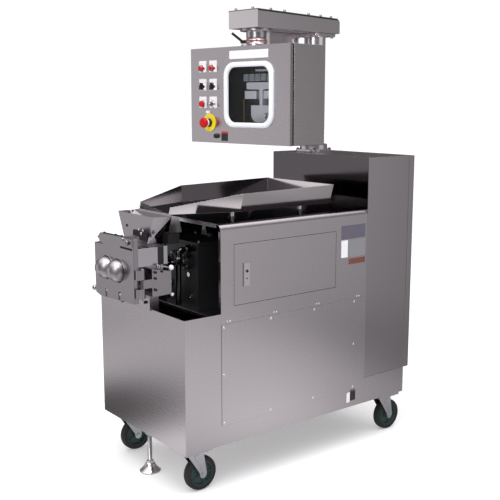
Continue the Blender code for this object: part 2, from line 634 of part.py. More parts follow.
def build_hopper(machine):
    """Funnel from the tray's lip down to the barrel's feed throat."""
    low_z, high_z = BARREL_TOP + GAP, 0.9650
    front, low_back, high_back = -0.550, -0.514, -0.478
    low_half, front_half, back_half, drop = 0.077, 0.118, 0.126, 0.002
    low = [(front, -low_half, low_z), (low_back, -low_half, low_z), (low_back, low_half, low_z),
           (front, low_half, low_z)]
    high = [(front, -front_half, high_z), (high_back, -back_half, high_z - drop),
            (high_back, back_half, high_z - drop), (front, front_half, high_z)]
    return solid("hopper", tapered_wall(low, high, 0.0015), "polished_steel", machine)


def corner_shift(normals, amounts):
    """Plan vector that moves a corner by the given amount along each of its two walls' normals."""
    (ax, ay), (bx, by) = normals
    a, b = amounts
    spread = ax * by - ay * bx
    return (a * by - b * ay) / spread, (ax * b - bx * a) / spread


def build_tray(machine):
    """Open feed pan that narrows to a spout over the hopper, on four short feet."""
    floor, rear_rim, knee_rim, tip_rim = 0.9665, 1.038, 1.0305, 0.992
    half, tip_half = 0.187, 0.100
    rear, knee, tip = 0.200, -0.232, -0.474
    plan = [(rear, -half), (rear, half), (knee, half), (tip, tip_half), (tip, -tip_half), (knee, -half)]
    rims = [rear_rim, rear_rim, knee_rim, tip_rim, tip_rim, knee_rim]
    # outward lean of each wall per metre of height; the open spout end leans back
    leans = [0.12, 0.18, 0.14, -0.28, 0.14, 0.18]
    sheet = 0.0018
    count = len(plan)
    normals = []
    for (ax, ay), (bx, by) in zip(plan, plan[1:] + plan[:1]):
        length = math.hypot(bx - ax, by - ay)
        normals.append(((by - ay) / length, (ax - bx) / length))

    def loop(inset, heights):
        ring = []
        for i, ((x, y), z) in enumerate(zip(plan, heights)):
            pair = (normals[i - 1], normals[i])
            rise = z - floor
            dx, dy = corner_shift(pair, (leans[i - 1] * rise - inset, leans[i] * rise - inset))
            ring.append((x + dx, y + dy, z))
        return ring

    shape = bmesh.new()
    loops = [loop(0.0, [floor] * count), loop(0.0, rims), loop(sheet, rims), loop(sheet, [floor + sheet] * count)]
    rings = [[shape.verts.new(c) for c in ring] for ring in loops]
    for here, after in zip(rings, rings[1:]):
        for i in range(count):
            j = (i + 1) % count
            shape.faces.new((here[i], here[j], after[j], after[i]))
    shape.faces.new(rings[0])
    shape.faces.new(rings[3])
    rim_faces = [f for f in shape.faces if all(v in rings[1] or v in rings[2] for v in f.verts)]
    bmesh.ops.triangulate(shape, faces=rim_faces)
    tray = solid("feed_tray", shape, "polished_steel", machine)
    # the spout end has no wall
    cut(tray, box_mesh((tip - 0.010, -tip_half + 2 * sheet, floor + 1.2 * sheet),
                       (tip + 0.015, tip_half - 2 * sheet, knee_rim)))
    for x in (-0.240, 0.080):
        for y in (-0.150, 0.150):
            join(tray, rod_mesh(0.008, COVER_TOP + GAP, floor + 0.0008, at=(x, y, 0), sides=12))
    return tray


def build_coolant_pipe(machine):
    """Barrel cooling pipe: a riser beside the gearbox with an elbow and a union nut."""
    x, y = -0.430, -0.085
    elbow_z, union, branch_union = 0.835, 0.017, 0.016
    pipe = solid("coolant_pipe", rod_mesh(0.011, 0.640, elbow_z, at=(x, y, 0), sides=16),
                 "polished_steel", machine)
    join(pipe, rod_mesh(union, elbow_z - 0.023, elbow_z + 0.017, at=(x, y, 0), sides=6))
    join(pipe, rod_mesh(0.010, x, x + 0.068, "x", (0, y, elbow_z), 16))
    join(pipe, rod_mesh(branch_union, x + 0.026, x + 0.052, "x", (0, y, elbow_z), 6))


# ------------------------------------------------------------ swing arm
def build_arm(machine):
    """Post and horizontal arm that turn together in a bolted socket on the cabinet."""
    socket_place = pivot("post_socket_place", (*POST_AT, 0), machine, ARM_YAW)
    flange = prism_mesh(rounded(0.062, 0.062, 0.030), CABINET_TOP + GAP, CABINET_TOP + 0.012)
    socket = solid("post_socket", flange, "machined_steel", socket_place)
    join(socket, rod_mesh(0.058, CABINET_TOP + 0.010, CABINET_TOP + 0.034, sides=28))
    cut(socket, rod_mesh(POST_RADIUS + GAP, CABINET_TOP - 0.01, CABINET_TOP + 0.05, sides=32))
    soften(socket)

    arm = pivot("arm_axis", (*POST_AT, 0), machine, ARM_YAW)
    post = solid("arm_post", rod_mesh(POST_RADIUS, CABINET_TOP + 2 * GAP, ARM_BOTTOM - 0.006, sides=32),
                 "polished_steel", arm)
    join(post, prism_mesh(rounded(0.0635, 0.0635, 0.012), ARM_BOTTOM - 0.012, ARM_BOTTOM - GAP))
    soften(post)

    half = ARM_WIDTH / 2
    lid = 0.003
    top_front, top_back = ARM_BOTTOM + ARM_HEIGHT_FRONT - lid, ARM_BOTTOM + ARM_HEIGHT_BACK - lid
    side = [(-ARM_FRONT, ARM_BOTTOM), (ARM_BACK, ARM_BOTTOM), (ARM_BACK, top_back - 0.010),
            (ARM_BACK - 0.010, top_back), (-ARM_FRONT, top_front)]
    beam = solid("arm_beam", prism_mesh(side, -half, half, "xz"), "satin_steel", arm)
    hollow = [(-ARM_FRONT + SHEET, ARM_BOTTOM + 0.004), (ARM_BACK - 0.012, ARM_BOTTOM + 0.004),
              (ARM_BACK - 0.012, 1.75), (-ARM_FRONT + SHEET, 1.75)]
    cut(beam, prism_mesh(hollow, -half + SHEET, half - SHEET, "xz"))
    slope = (ARM_HEIGHT_BACK - ARM_HEIGHT_FRONT) / (ARM_FRONT + ARM_BACK - 0.010)
    end_z = top_front + slope * (ARM_FRONT + ARM_BACK - 0.014)
    cap = [(-ARM_FRONT, top_front + GAP), (ARM_BACK - 0.014, end_z + GAP),
           (ARM_BACK - 0.014, end_z + lid), (-ARM_FRONT, top_front + lid)]
    solid("arm_lid", prism_mesh(cap, -half, half, "xz"), "satin_steel", arm)
    # fixed half of the neck joint under the arm
    neck_at = (-NECK_REACH, 0, 0)
    neck = solid("neck_flange", rod_mesh(0.064, ARM_BOTTOM - 0.009, ARM_BOTTOM - GAP, at=neck_at, sides=24),
                 "machined_steel", arm)
    join(neck, rod_mesh(0.040, NECK_JOINT, ARM_BOTTOM - 0.008, at=neck_at, sides=24))
    soften(neck)
    return arm


# ------------------------------------------------------------ control box
def build_control_box(arm):
    """Control box that turns on the neck, with its instruments behind a window door."""
    neck = pivot("neck_axis", (-NECK_REACH, 0, 0), arm)
    turning = solid("neck_collar", rod_mesh(0.043, BOX_TOP + GAP, NECK_JOINT - GAP, sides=24),
                    "polished_steel", neck)
    join(turning, rod_mesh(0.060, BOX_TOP + GAP, BOX_TOP + 0.009, sides=24))
    soften(turning)
    body_front = BOX_FRONT + DOOR_DEPTH + DOOR_GAP
    shell = box("box_shell", (body_front, BOX_NEAR, BOX_BOTTOM), (BOX_BACK, BOX_FAR, BOX_TOP),
                "satin_steel", neck)
    cut(shell, box_mesh((body_front - 0.01, BOX_NEAR + SHEET, BOX_BOTTOM + SHEET),
                        (BOX_BACK - SHEET, BOX_FAR - SHEET, BOX_TOP - SHEET)))
    box("instrument_panel", (body_front + 0.050, BOX_NEAR + 0.012, BOX_BOTTOM + 0.012),
        (body_front + 0.056, BOX_FAR - 0.012, BOX_TOP - 0.012), "panel_grey", neck)

    lever_at = (-0.012, 0.060, BOX_TOP + 0.022)
    lever_axis = pivot("neck_lever_axis", lever_at, neck)
    lever = solid("neck_clamp_lever", rod_mesh(0.007, -0.015, 0.011, "y", sides=12),
                  "black_plastic", lever_axis)
    rod = rod_mesh(0.0050, 0.0, 0.055, "z", sides=12)
    lean = math.radians(-38)
    turn = Matrix.Rotation(lean, 4, "Y") @ Matrix.Rotation(lean, 4, "X")
    bmesh.ops.transform(rod, matrix=Matrix.Translation((0, 0.004, 0)) @ turn, verts=rod.verts)
    join(lever, rod)
    soften(lever)
    build_box_door(neck)


LAMP_ROWS = {"lamp": 1.482, "selector": 1.411, "button": 1.341}
COLUMN_FAR, COLUMN_NEAR = 0.215, 0.154
WINDOW_CENTRE = (-0.047, 1.376)
ESTOP_AT = (0.178, 1.267)
LOCK_AT = (0.134, 1.215)


def build_box_door(neck):
    """Door with a rubber-framed window, lamps, selectors, buttons and the emergency stop."""
    hinge_y = BOX_NEAR + 0.0025
    hinge = pivot("box_door_axis", (BOX_FRONT + DOOR_DEPTH, hinge_y, 0), neck)
    near, far = BOX_NEAR - hinge_y, BOX_FAR - hinge_y
    door = box("box_door", (-DOOR_DEPTH, near, BOX_BOTTOM), (0, far, BOX_TOP), "satin_steel", hinge)
    cut(door, box_mesh((-DOOR_DEPTH + SHEET, near + SHEET, BOX_BOTTOM + SHEET),
                       (0.01, far - SHEET, BOX_TOP - SHEET)))
    window = (WINDOW_CENTRE[0] - hinge_y, WINDOW_CENTRE[1])
    cut(door, prism_mesh(rounded(0.1175, 0.1115, 0.040, window), -0.03, 0.01, "yz"))

    front = -DOOR_DEPTH
    outer = rounded(0.1355, 0.1270, 0.052, window, 6)
    inner = rounded(0.1100, 0.1045, 0.036, window, 6)
    seal = solid("window_seal", prism_mesh(outer, front - 0.011, front - GAP, "yz"), "white_rubber", hinge)
    cut(seal, prism_mesh(inner, front - 0.03, front + 0.01, "yz"))
    soften(seal)
    pane = rounded(0.1170, 0.1110, 0.039, window)
    solid("window_pane", prism_mesh(pane, front, front + 0.003, "yz"), "glass", hinge)

    holes = []

    def control(name, y, z, kind, profile, bore, sides=12):
        """A turned control on its own axis through the door."""
        at = (front, y - hinge_y, z)
        # flats of the bore clear the corners of the stem as it turns
        holes.append(rod_mesh(bore / math.cos(math.pi / sides) + GAP, -0.02, 0.01, "x", at, sides))
        axis = pivot(name + "_axis", at, hinge)
        return solid(name, lathe_mesh(profile, "x", sides=sides), kind, axis, smooth=True)

    stem = 0.011
    lamp = [(0, -0.021), (0.008, -0.019), (0.0125, -0.012), (0.0125, -0.004), (0.015, -0.004), (0.015, -GAP),
            (stem, -GAP), (stem, 0.011), (0, 0.011)]
    knob = [(0, -0.009), (0.014, -0.009), (0.015, -0.003), (0.015, -GAP), (stem, -GAP), (stem, 0.011),
            (0, 0.011)]
    push = [(0, -0.014), (0.0115, -0.014), (0.0125, -0.012), (0.0125, -0.0065), (stem, -0.0065),
            (stem, 0.016), (0, 0.016)]
    control("lamp_far", COLUMN_FAR, LAMP_ROWS["lamp"], "red_plastic", lamp, stem)
    control("lamp_near", COLUMN_NEAR, LAMP_ROWS["lamp"], "red_plastic", lamp, stem)
    for name, y in (("selector_far", COLUMN_FAR), ("selector_near", COLUMN_NEAR)):
        selector = control(name, y, LAMP_ROWS["selector"], "black_plastic", knob, stem)
        join(selector, box_mesh((-0.020, -0.0035, -0.0145), (-0.008, 0.0035, 0.0145)))
    control("push_button", COLUMN_FAR, LAMP_ROWS["button"], "red_plastic", push, stem)
    key = control("key_switch", COLUMN_NEAR, LAMP_ROWS["button"], "machined_steel", knob, stem)
    join(key, box_mesh((-0.022, -0.0015, -0.0085), (-0.008, 0.0015, 0.0085)))

    plate_at = (front, ESTOP_AT[0] - hinge_y, ESTOP_AT[1])
    plate = solid("estop_plate", ring_mesh([(stem + GAP, -0.0030), (0.036, -0.0030), (0.036, -GAP),
                                            (stem + GAP, -GAP)], "x", plate_at, 32), "yellow_plastic", hinge)
    soften(plate)
    mushroom = [(0, -0.044), (0.012, -0.0435), (0.019, -0.040), (0.0205, -0.034), (0.019, -0.028),
                (stem, -0.026), (stem, 0.020), (0, 0.020)]
    control("estop_button", *ESTOP_AT, "red_plastic", mushroom, stem)
    barrel = 0.0075
    catch = [(0, -0.012), (0.0085, -0.011), (0.0095, -0.004), (0.0095, -GAP), (barrel, -GAP), (barrel, 0.014),
             (0, 0.014)]
    lock = control("door_lock", *LOCK_AT, "black_plastic", catch, barrel)
    join(lock, box_mesh((0.010, -0.005, -0.020), (0.0128, 0.005, 0.004)))
    cut(door, *holes)


# ------------------------------------------------------------ assembly
def build():
    machine = pivot("machine", (*CENTRE_SHIFT, 0.0))
    build_base(machine)
    build_cover(machine)
    build_access_door(machine)
    build_rear_cabinet(machine)
    for place_name, at in CASTORS.items():
        build_castor(machine, place_name, at)
    build_leveller(machine)
    build_gearbox(machine)
    build_screws(machine)
    build_barrel(machine)
    build_die_plate(machine)
    build_die_hardware(machine)
    build_clamp_lever(machine)
    build_hopper(machine)
    build_tray(machine)
    build_coolant_pipe(machine)
    build_control_box(build_arm(machine))


build()
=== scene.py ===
"""Looks of the twin-dome extrusion granulator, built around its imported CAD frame.

Metres, +Z up, floor at z = 0.  -X is the die head's end, -Y the operator's side.
"""

import json
import math

import bmesh
import bpy
from mathutils import Matrix, Vector


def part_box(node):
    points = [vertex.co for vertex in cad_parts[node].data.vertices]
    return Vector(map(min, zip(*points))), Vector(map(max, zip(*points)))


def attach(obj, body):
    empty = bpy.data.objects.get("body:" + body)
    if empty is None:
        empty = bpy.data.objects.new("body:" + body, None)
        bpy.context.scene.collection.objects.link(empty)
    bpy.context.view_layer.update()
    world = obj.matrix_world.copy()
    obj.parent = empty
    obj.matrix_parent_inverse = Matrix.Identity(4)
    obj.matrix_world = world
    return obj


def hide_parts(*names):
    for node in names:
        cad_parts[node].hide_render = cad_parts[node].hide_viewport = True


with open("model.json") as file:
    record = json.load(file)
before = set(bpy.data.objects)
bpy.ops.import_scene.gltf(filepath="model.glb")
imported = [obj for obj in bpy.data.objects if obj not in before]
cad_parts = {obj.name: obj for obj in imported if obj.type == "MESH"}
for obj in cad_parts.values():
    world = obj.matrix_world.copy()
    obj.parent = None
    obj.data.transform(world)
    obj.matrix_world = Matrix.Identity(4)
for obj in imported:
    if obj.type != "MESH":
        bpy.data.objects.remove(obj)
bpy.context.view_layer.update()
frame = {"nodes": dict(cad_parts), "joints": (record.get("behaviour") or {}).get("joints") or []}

# ------------------------------------------------------------ places taken from the frame
X, Y, Z = Vector((1, 0, 0)), Vector((0, 1, 0)), Vector((0, 0, 1))


def middle(node_name):
    low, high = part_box(node_name)
    return (low + high) / 2


def local_frame(at, yaw=0.0):
    return Matrix.Translation((at.x, at.y, 0)) @ Matrix.Rotation(yaw, 4, "Z")


def joint_place(joint):
    """A hinge's stated place, or the middle of what a slide carries."""
    return Vector(joint["pos_m"]) if "pos_m" in joint else middle(joint["child"])


PIVOT = {joint["name"]: joint_place(joint) for joint in frame["joints"]}
POST, NECK = PIVOT["arm_swing"], PIVOT["box_swivel"]
ARM_YAW = math.atan2(POST.y - NECK.y, POST.x - NECK.x)
IN_MACHINE = local_frame(middle("base_cabinet"))
IN_ARM = local_frame(POST, ARM_YAW)
IN_BOX = local_frame(NECK, ARM_YAW)
IN_WORLD = Matrix.Identity(4)


def machine_box(node_name):
    """A node's lowest and highest corners in the machine's own frame."""
    low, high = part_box(node_name)
    back = IN_MACHINE.inverted()
    return back @ low, back @ high


# ------------------------------------------------------------ materials
def link(tree, source, target):
    tree.links.new(source, target)


def node(tree, kind, **settings):
    made = tree.nodes.new(kind)
    for key, value in settings.items():
        setattr(made, key, value)
    return made


def noise(tree, coordinates, stretch, scale, detail=3.0):
    """Noise whose grain is drawn out along the axes with a small stretch value."""
    mapping = node(tree, "ShaderNodeMapping")
    mapping.inputs["Scale"].default_value = stretch
    link(tree, coordinates, mapping.inputs["Vector"])
    texture = node(tree, "ShaderNodeTexNoise")
    texture.inputs["Scale"].default_value = scale
    texture.inputs["Detail"].default_value = detail
    texture.inputs["Roughness"].default_value = 0.55
    link(tree, mapping.outputs["Vector"], texture.inputs["Vector"])
    return texture.outputs["Fac"]


def surface(name, colour, metallic=0.0, roughness=0.5, grain=(1, 1, 1), scale=300.0, tint=0.10,
            spread=0.06, relief=0.00010, strength=0.35, patch=4.0, sockets=None):
    """Principled material with fine grain, broad patches, varied roughness and a grain bump."""
    made = bpy.data.materials.new(name)
    made.use_nodes = True
    tree = made.node_tree
    shader = tree.nodes["Principled BSDF"]
    coordinates = node(tree, "ShaderNodeTexCoord").outputs["Object"]
    fine = noise(tree, coordinates, grain, scale)
    broad = noise(tree, coordinates, (1, 1, 1), patch, 2.0)
    blend = node(tree, "ShaderNodeMath", operation="MULTIPLY_ADD")
    link(tree, fine, blend.inputs[0])
    blend.inputs[1].default_value = 0.55
    half = node(tree, "ShaderNodeMath", operation="MULTIPLY")
    link(tree, broad, half.inputs[0])
    half.inputs[1].default_value = 0.45
    link(tree, half.outputs[0], blend.inputs[2])

    mix = node(tree, "ShaderNodeMix", data_type="RGBA")
    mix.inputs["A"].default_value = (*(c * (1 - tint) for c in colour), 1)
    mix.inputs["B"].default_value = (*(min(1.0, c * (1 + tint)) for c in colour), 1)
    link(tree, blend.outputs[0], mix.inputs["Factor"])
    link(tree, mix.outputs["Result"], shader.inputs["Base Color"])

    ramp = node(tree, "ShaderNodeMapRange")
    ramp.inputs["From Min"].default_value = 0.25
    ramp.inputs["From Max"].default_value = 0.75
    ramp.inputs["To Min"].default_value = max(0.0, roughness - spread)
    ramp.inputs["To Max"].default_value = min(1.0, roughness + spread)
    link(tree, blend.outputs[0], ramp.inputs["Value"])
    link(tree, ramp.outputs["Result"], shader.inputs["Roughness"])

    bump = node(tree, "ShaderNodeBump")
    bump.inputs["Strength"].default_value = strength
    bump.inputs["Distance"].default_value = relief
    link(tree, fine, bump.inputs["Height"])
    link(tree, bump.outputs["Normal"], shader.inputs["Normal"])
    shader.inputs["Metallic"].default_value = metallic
    for key, value in (sockets or {}).items():
        shader.inputs[key].default_value = value
    return made


def perforated(made, centre, radius, pitch, hole):
    """Add rings of round holes about an axis along X to a dome's material."""
    tree = made.node_tree
    shader = tree.nodes["Principled BSDF"]

    def math_node(operation, a, b=None, c=None):
        step = node(tree, "ShaderNodeMath", operation=operation)
        for slot_index, value in enumerate((a, b, c)):
            if value is None:
                continue
            if isinstance(value, (int, float)):
                step.inputs[slot_index].default_value = value
            else:
                link(tree, value, step.inputs[slot_index])
        return step.outputs[0]

    coordinates = node(tree, "ShaderNodeTexCoord").outputs["Object"]
    shift = node(tree, "ShaderNodeVectorMath", operation="SUBTRACT")
    link(tree, coordinates, shift.inputs[0])
    shift.inputs[1].default_value = centre
    split = node(tree, "ShaderNodeSeparateXYZ")
    link(tree, shift.outputs["Vector"], split.inputs[0])
    x, y, z = split.outputs
    across = math_node("SQRT", math_node("ADD", math_node("MULTIPLY", y, y), math_node("MULTIPLY", z, z)))
    polar = math_node("ARCTAN2", across, math_node("MULTIPLY", x, -1.0))
    ring = math_node("DIVIDE", math_node("MULTIPLY", polar, radius), pitch)
    ring_number = math_node("ROUND", ring)
    ring_angle = math_node("DIVIDE", math_node("MULTIPLY", ring_number, pitch), radius)
    girth = math_node("MULTIPLY", math_node("SINE", ring_angle), 2 * math.pi * radius)
    count = math_node("MAXIMUM", math_node("ROUND", math_node("DIVIDE", girth, pitch)), 1.0)
    turn = math_node("DIVIDE", math_node("ARCTAN2", z, y), 2 * math.pi)
    along = math_node("MULTIPLY", turn, count)
    off_along = math_node("MULTIPLY", math_node("SUBTRACT", along, math_node("ROUND", along)), pitch)
    off_ring = math_node("MULTIPLY", math_node("SUBTRACT", ring, ring_number), pitch)
    distance = math_node("SQRT", math_node("ADD", math_node("MULTIPLY", off_along, off_along),
                                           math_node("MULTIPLY", off_ring, off_ring)))
    edge = node(tree, "ShaderNodeMapRange", interpolation_type="SMOOTHSTEP")
    edge.inputs["From Min"].default_value = hole * 0.40
    edge.inputs["From Max"].default_value = hole * 0.55
    link(tree, distance, edge.inputs["Value"])
    colour_source = shader.inputs["Base Color"].links[0].from_socket
    dark = node(tree, "ShaderNodeMix", data_type="RGBA")
    dark.inputs["A"].default_value = (0.20, 0.195, 0.20, 1)
    link(tree, colour_source, dark.inputs["B"])
    link(tree, edge.outputs["Result"], dark.inputs["Factor"])
    link(tree, dark.outputs["Result"], shader.inputs["Base Color"])
    pits = node(tree, "ShaderNodeBump")
    pits.inputs["Strength"].default_value = 0.10
    pits.inputs["Distance"].default_value = 0.0002
    link(tree, edge.outputs["Result"], pits.inputs["Height"])
    link(tree, shader.inputs["Normal"].links[0].from_socket, pits.inputs["Normal"])
    link(tree, pits.outputs["Normal"], shader.inputs["Normal"])
    return made


LEVEL_GRAIN = (5, 5, 260)        # brush lines that run level on upright sheets
UPRIGHT_GRAIN = (260, 260, 5)
LAID_GRAIN = (5, 260, 260)       # lines along X


def steel(name, colour, roughness, grain, scale=2.2, **more):
    return surface(name, colour, 1.0, roughness, grain, scale, **more)


def brushed(name, colour, roughness, grain, scale=5.0, tint=0.02, spread=0.02, strength=0.05):
    """Steel with the faintest of grain."""
    return steel(name, colour, roughness, grain, scale, tint=tint, spread=spread, relief=0.00001,
                 strength=strength)


# The machine is probably one grade of stainless steel.  These shades are fitted to how each piece
# looks in the main view, where it mirrors its surroundings, and are not the steel's own colour.


SATIN = brushed("satin_steel", (0.52, 0.485, 0.510), 0.27, LEVEL_GRAIN)
SATIN_TALL = brushed("satin_steel_tall", (0.44, 0.412, 0.432), 0.25, LEVEL_GRAIN)
ARM_STEEL = brushed("arm_steel", (0.78, 0.735, 0.765), 0.25, LEVEL_GRAIN)
LID_STEEL = brushed("lid_steel", (0.29, 0.272, 0.285), 0.25, LAID_GRAIN)
TRAY_STEEL = steel("tray_steel", (0.80, 0.755, 0.780), 0.10, LAID_GRAIN, tint=0.03, spread=0.03,
                   relief=0.00001, strength=0.08)
# A darker copy of the steel for the cover's top, the cabinet's front and the tray's far wall: a painted dark
# reflection.
PAINTED_DARK_REFLECTION = steel("painted_dark_reflection_steel", (0.13, 0.118, 0.127), 0.11, LAID_GRAIN, tint=0.05, spread=0.03,
                    relief=0.00001, strength=0.12, sockets={"Specular Tint": (0.40, 0.38, 0.40, 1)})
BRIGHT = brushed("bright_steel", (0.62, 0.585, 0.62), 0.20, UPRIGHT_GRAIN, 4.0, 0.03, 0.03, 0.08)
POST_STEEL = brushed("post_steel", (0.86, 0.82, 0.84), 0.16, UPRIGHT_GRAIN, 4.0, 0.03, 0.03, 0.08)
HEAD_STEEL = brushed("head_steel", (0.33, 0.312, 0.335), 0.20, UPRIGHT_GRAIN, 4.0, 0.05, 0.04, 0.08)
HOPPER_STEEL = brushed("hopper_steel", (0.36, 0.338, 0.360), 0.16, UPRIGHT_GRAIN, 4.0, 0.03, 0.03, 0.06)
MACHINED = steel("machined_steel", (0.50, 0.47, 0.505), 0.24, LAID_GRAIN, 4.0, tint=0.08, spread=0.05,
                 relief=0.00003, strength=0.2)
PIPE_STEEL = brushed("pipe_steel", (0.12, 0.11, 0.12), 0.20, UPRIGHT_GRAIN, 4.0, 0.03, 0.03, 0.08)
BOX_STEEL = brushed("box_steel", (0.68, 0.635, 0.655), 0.27, LEVEL_GRAIN)
CHROME = steel("chrome", (0.78, 0.76, 0.77), 0.07, (60, 60, 60), 4.0, tint=0.04, spread=0.03,
               relief=0.00002, strength=0.15)
ZINC = surface("zinc_plate", (0.60, 0.61, 0.64), 1.0, 0.30, scale=420, tint=0.14, spread=0.09,
               relief=0.00005, patch=28)
CAST = surface("cast_paint", (0.014, 0.014, 0.016), 0.0, 0.46, scale=520, tint=0.25, spread=0.10,
               relief=0.0003, strength=0.5, patch=12)
MOTOR = surface("motor_paint", (0.045, 0.085, 0.090), 0.0, 0.40, scale=520, tint=0.20, spread=0.08,
                relief=0.0003, strength=0.4, patch=12)
BLACK = surface("black_plastic", (0.012, 0.012, 0.013), 0.0, 0.36, scale=900, tint=0.25, spread=0.08,
                relief=0.00008, patch=30)
GASKET = surface("gasket_rubber", (0.010, 0.010, 0.011), 0.0, 0.62, scale=700, tint=0.3, relief=0.0001,
                 patch=20)
RED = surface("red_plastic", (0.52, 0.004, 0.012), 0.0, 0.30, scale=900, tint=0.10, spread=0.05,
              relief=0.00005, patch=40, sockets={"Specular IOR Level": 0.25})
LENS = surface("red_lens", (0.34, 0.004, 0.008), 0.0, 0.16, scale=900, tint=0.12, spread=0.04, relief=0.00004,
               patch=60, sockets={"Coat Weight": 0.5, "Coat Roughness": 0.05})
YELLOW = surface("yellow_plastic", (0.86, 0.68, 0.008), 0.0, 0.34, scale=900, tint=0.06, spread=0.05,
                 relief=0.00005, patch=40)
SEAL = surface("white_rubber", (0.80, 0.82, 0.86), 0.0, 0.42, scale=600, tint=0.04, spread=0.08,
               relief=0.00010, patch=14)
WHITE = surface("white_plastic", (0.80, 0.80, 0.82), 0.0, 0.30, scale=900, tint=0.04, spread=0.05,
                relief=0.00005, patch=30)
PAPER = surface("plate_white", (0.80, 0.79, 0.82), 0.0, 0.45, scale=1400, tint=0.03, relief=0.00004, patch=40)
MUTED = surface("plate_lilac", (0.11, 0.10, 0.14), 0.0, 0.40, scale=1400, tint=0.10, relief=0.00004, patch=40)
RUST_RED = surface("plate_brown", (0.16, 0.055, 0.040), 0.0, 0.45, scale=1400, tint=0.12, relief=0.00004,
                   patch=40)
PANEL = surface("panel_grey", (0.010, 0.010, 0.011), 0.0, 0.45, scale=700, tint=0.2, relief=0.0002, patch=10)
METER = surface("meter_bezel", (0.22, 0.22, 0.24), 0.0, 0.35, scale=900, tint=0.1, relief=0.00006, patch=40)
METER_FACE = surface("meter_face", (0.24, 0.29, 0.30), 0.0, 0.30, scale=900, tint=0.1, relief=0.00006,
                     patch=40)
MOULDING = surface("moulding_grey", (0.46, 0.445, 0.49), 0.0, 0.35, scale=900, tint=0.06, relief=0.00006,
                   patch=30)
WIRE = surface("wire_ochre", (0.20, 0.13, 0.03), 0.0, 0.40, scale=900, tint=0.1, relief=0.00006, patch=30)
TYRE = surface("wheel_rubber", (0.014, 0.014, 0.015), 0.0, 0.66, scale=500, tint=0.35, spread=0.10,
               relief=0.0003, strength=0.5, patch=22)
HUB = surface("hub_teal", (0.020, 0.048, 0.046), 0.0, 0.38, scale=700, tint=0.2, spread=0.08, relief=0.0001,
              patch=30)
BAND = surface("red_band", (0.55, 0.02, 0.03), 0.0, 0.30, scale=900, tint=0.1, relief=0.00005, patch=40)
BALL = surface("ball_white", (0.78, 0.78, 0.80), 0.0, 0.20, scale=900, tint=0.04, spread=0.05, relief=0.00004,
               patch=40, sockets={"Coat Weight": 0.4, "Coat Roughness": 0.06})
GLASS = surface("window_glass", (0.93, 0.95, 0.96), 0.0, 0.025, scale=60, tint=0.03, spread=0.02,
                relief=0.00001, strength=0.05, patch=9, sockets={"Transmission Weight": 1.0, "IOR": 1.18})
FLOOR = surface("studio_floor", (0.86, 0.86, 0.87), 0.0, 0.65, scale=90, tint=0.01, relief=0.00005, patch=0.6,
                sockets={"Emission Color": (1, 1, 1, 1), "Emission Strength": 0.30})


# ------------------------------------------------------------ shapes in mesh code
def round_edges(shape, width, segments=2, angle=28):
    """Round every edge sharper than the angle, so that it catches light."""
    if width <= 0:
        return shape
    bmesh.ops.recalc_face_normals(shape, faces=shape.faces)
    limit = math.radians(angle)
    sharp = [e for e in shape.edges if len(e.link_faces) == 2 and e.calc_face_angle(0.0) > limit]
    bmesh.ops.bevel(shape, geom=sharp, offset=width, offset_type="OFFSET", segments=segments,
                    profile=0.5, affect="EDGES", clamp_overlap=True)
    return shape


def block(low, high, bevel=0.0008, segments=2):
    shape = bmesh.new()
    bmesh.ops.create_cube(shape, size=1.0)
    low, high = Vector(low), Vector(high)
    bmesh.ops.scale(shape, vec=high - low, verts=shape.verts)
    bmesh.ops.translate(shape, vec=(high + low) / 2, verts=shape.verts)
    return round_edges(shape, bevel, segments)


def aim(direction):
    return Z.rotation_difference(Vector(direction).normalized()).to_matrix().to_4x4()


def lathe(profile, at=(0, 0, 0), direction=Z, sides=64, closed=False):
    """Turn a (radius, height) profile; a closed one makes a ring, an open one meets the axis."""
    shape = bmesh.new()
    rings = []
    for radius, height in profile:
        count = 1 if radius == 0 else sides
        rings.append([shape.verts.new((radius * math.cos(2 * math.pi * i / sides),
                                       radius * math.sin(2 * math.pi * i / sides), height))
                      for i in range(count)])
    pairs = list(zip(rings, rings[1:]))
    if closed:
        pairs.append((rings[-1], rings[0]))
    for here, after in pairs:
        for i in range(sides):
            j = (i + 1) % sides
            corners = [here[i % len(here)], here[j % len(here)], after[j % len(after)], after[i % len(after)]]
            corners = list(dict.fromkeys(corners))
            if len(corners) > 2:
                shape.faces.new(corners)
    bmesh.ops.transform(shape, matrix=Matrix.Translation(at) @ aim(direction), verts=shape.verts)
    return shape


def ball_profile(radius, steps):
    """Half circle for a lathe, closed on the axis at both ends."""
    arc = [(radius * math.sin(a), -radius * math.cos(a)) for a in (math.pi * k / steps
            for k in range(steps + 1))]
    return [(0, arc[0][1])] + arc[1:-1] + [(0, arc[-1][1])]


def rod(start, end, radius, sides=32, edge=0.0006):
    """Round bar between two points with chamfered ends."""
    start, end = Vector(start), Vector(end)
    length = (end - start).length
    profile = [(0, 0), (radius - edge, 0), (radius, edge), (radius, length - edge), (radius - edge, length),
               (0, length)]
    return lathe(profile, start, end - start, sides)


def prism(outline, start, end, plane="xy", bevel=0.0006, segments=2):
    """Extrude an outline; plane names the two axes it is drawn in."""
    order = {"xy": lambda a, b, c: (a, b, c), "xz": lambda a, b, c: (a, c, b), "yz": lambda a, b,
             c: (c, a, b)}[plane]
    shape = bmesh.new()
    near = [shape.verts.new(order(a, b, start)) for a, b in outline]
    far = [shape.verts.new(order(a, b, end)) for a, b in outline]
    shape.faces.new(near)
    shape.faces.new(far)
    for i in range(len(outline)):
        j = (i + 1) % len(outline)
        shape.faces.new((near[i], near[j], far[j], far[i]))
    return round_edges(shape, bevel, segments)


def rounded(half_a, half_b, radius, centre=(0.0, 0.0), steps=10):
    """Outline of a rectangle with round corners."""
    points = []
    for corner, (sa, sb) in enumerate(((1, 1), (-1, 1), (-1, -1), (1, -1))):
        for step in range(steps + 1):
            angle = math.pi / 2 * (corner + step / steps)
            points.append((centre[0] + sa * (half_a - radius) + radius * math.cos(angle),
                           centre[1] + sb * (half_b - radius) + radius * math.sin(angle)))
    return points


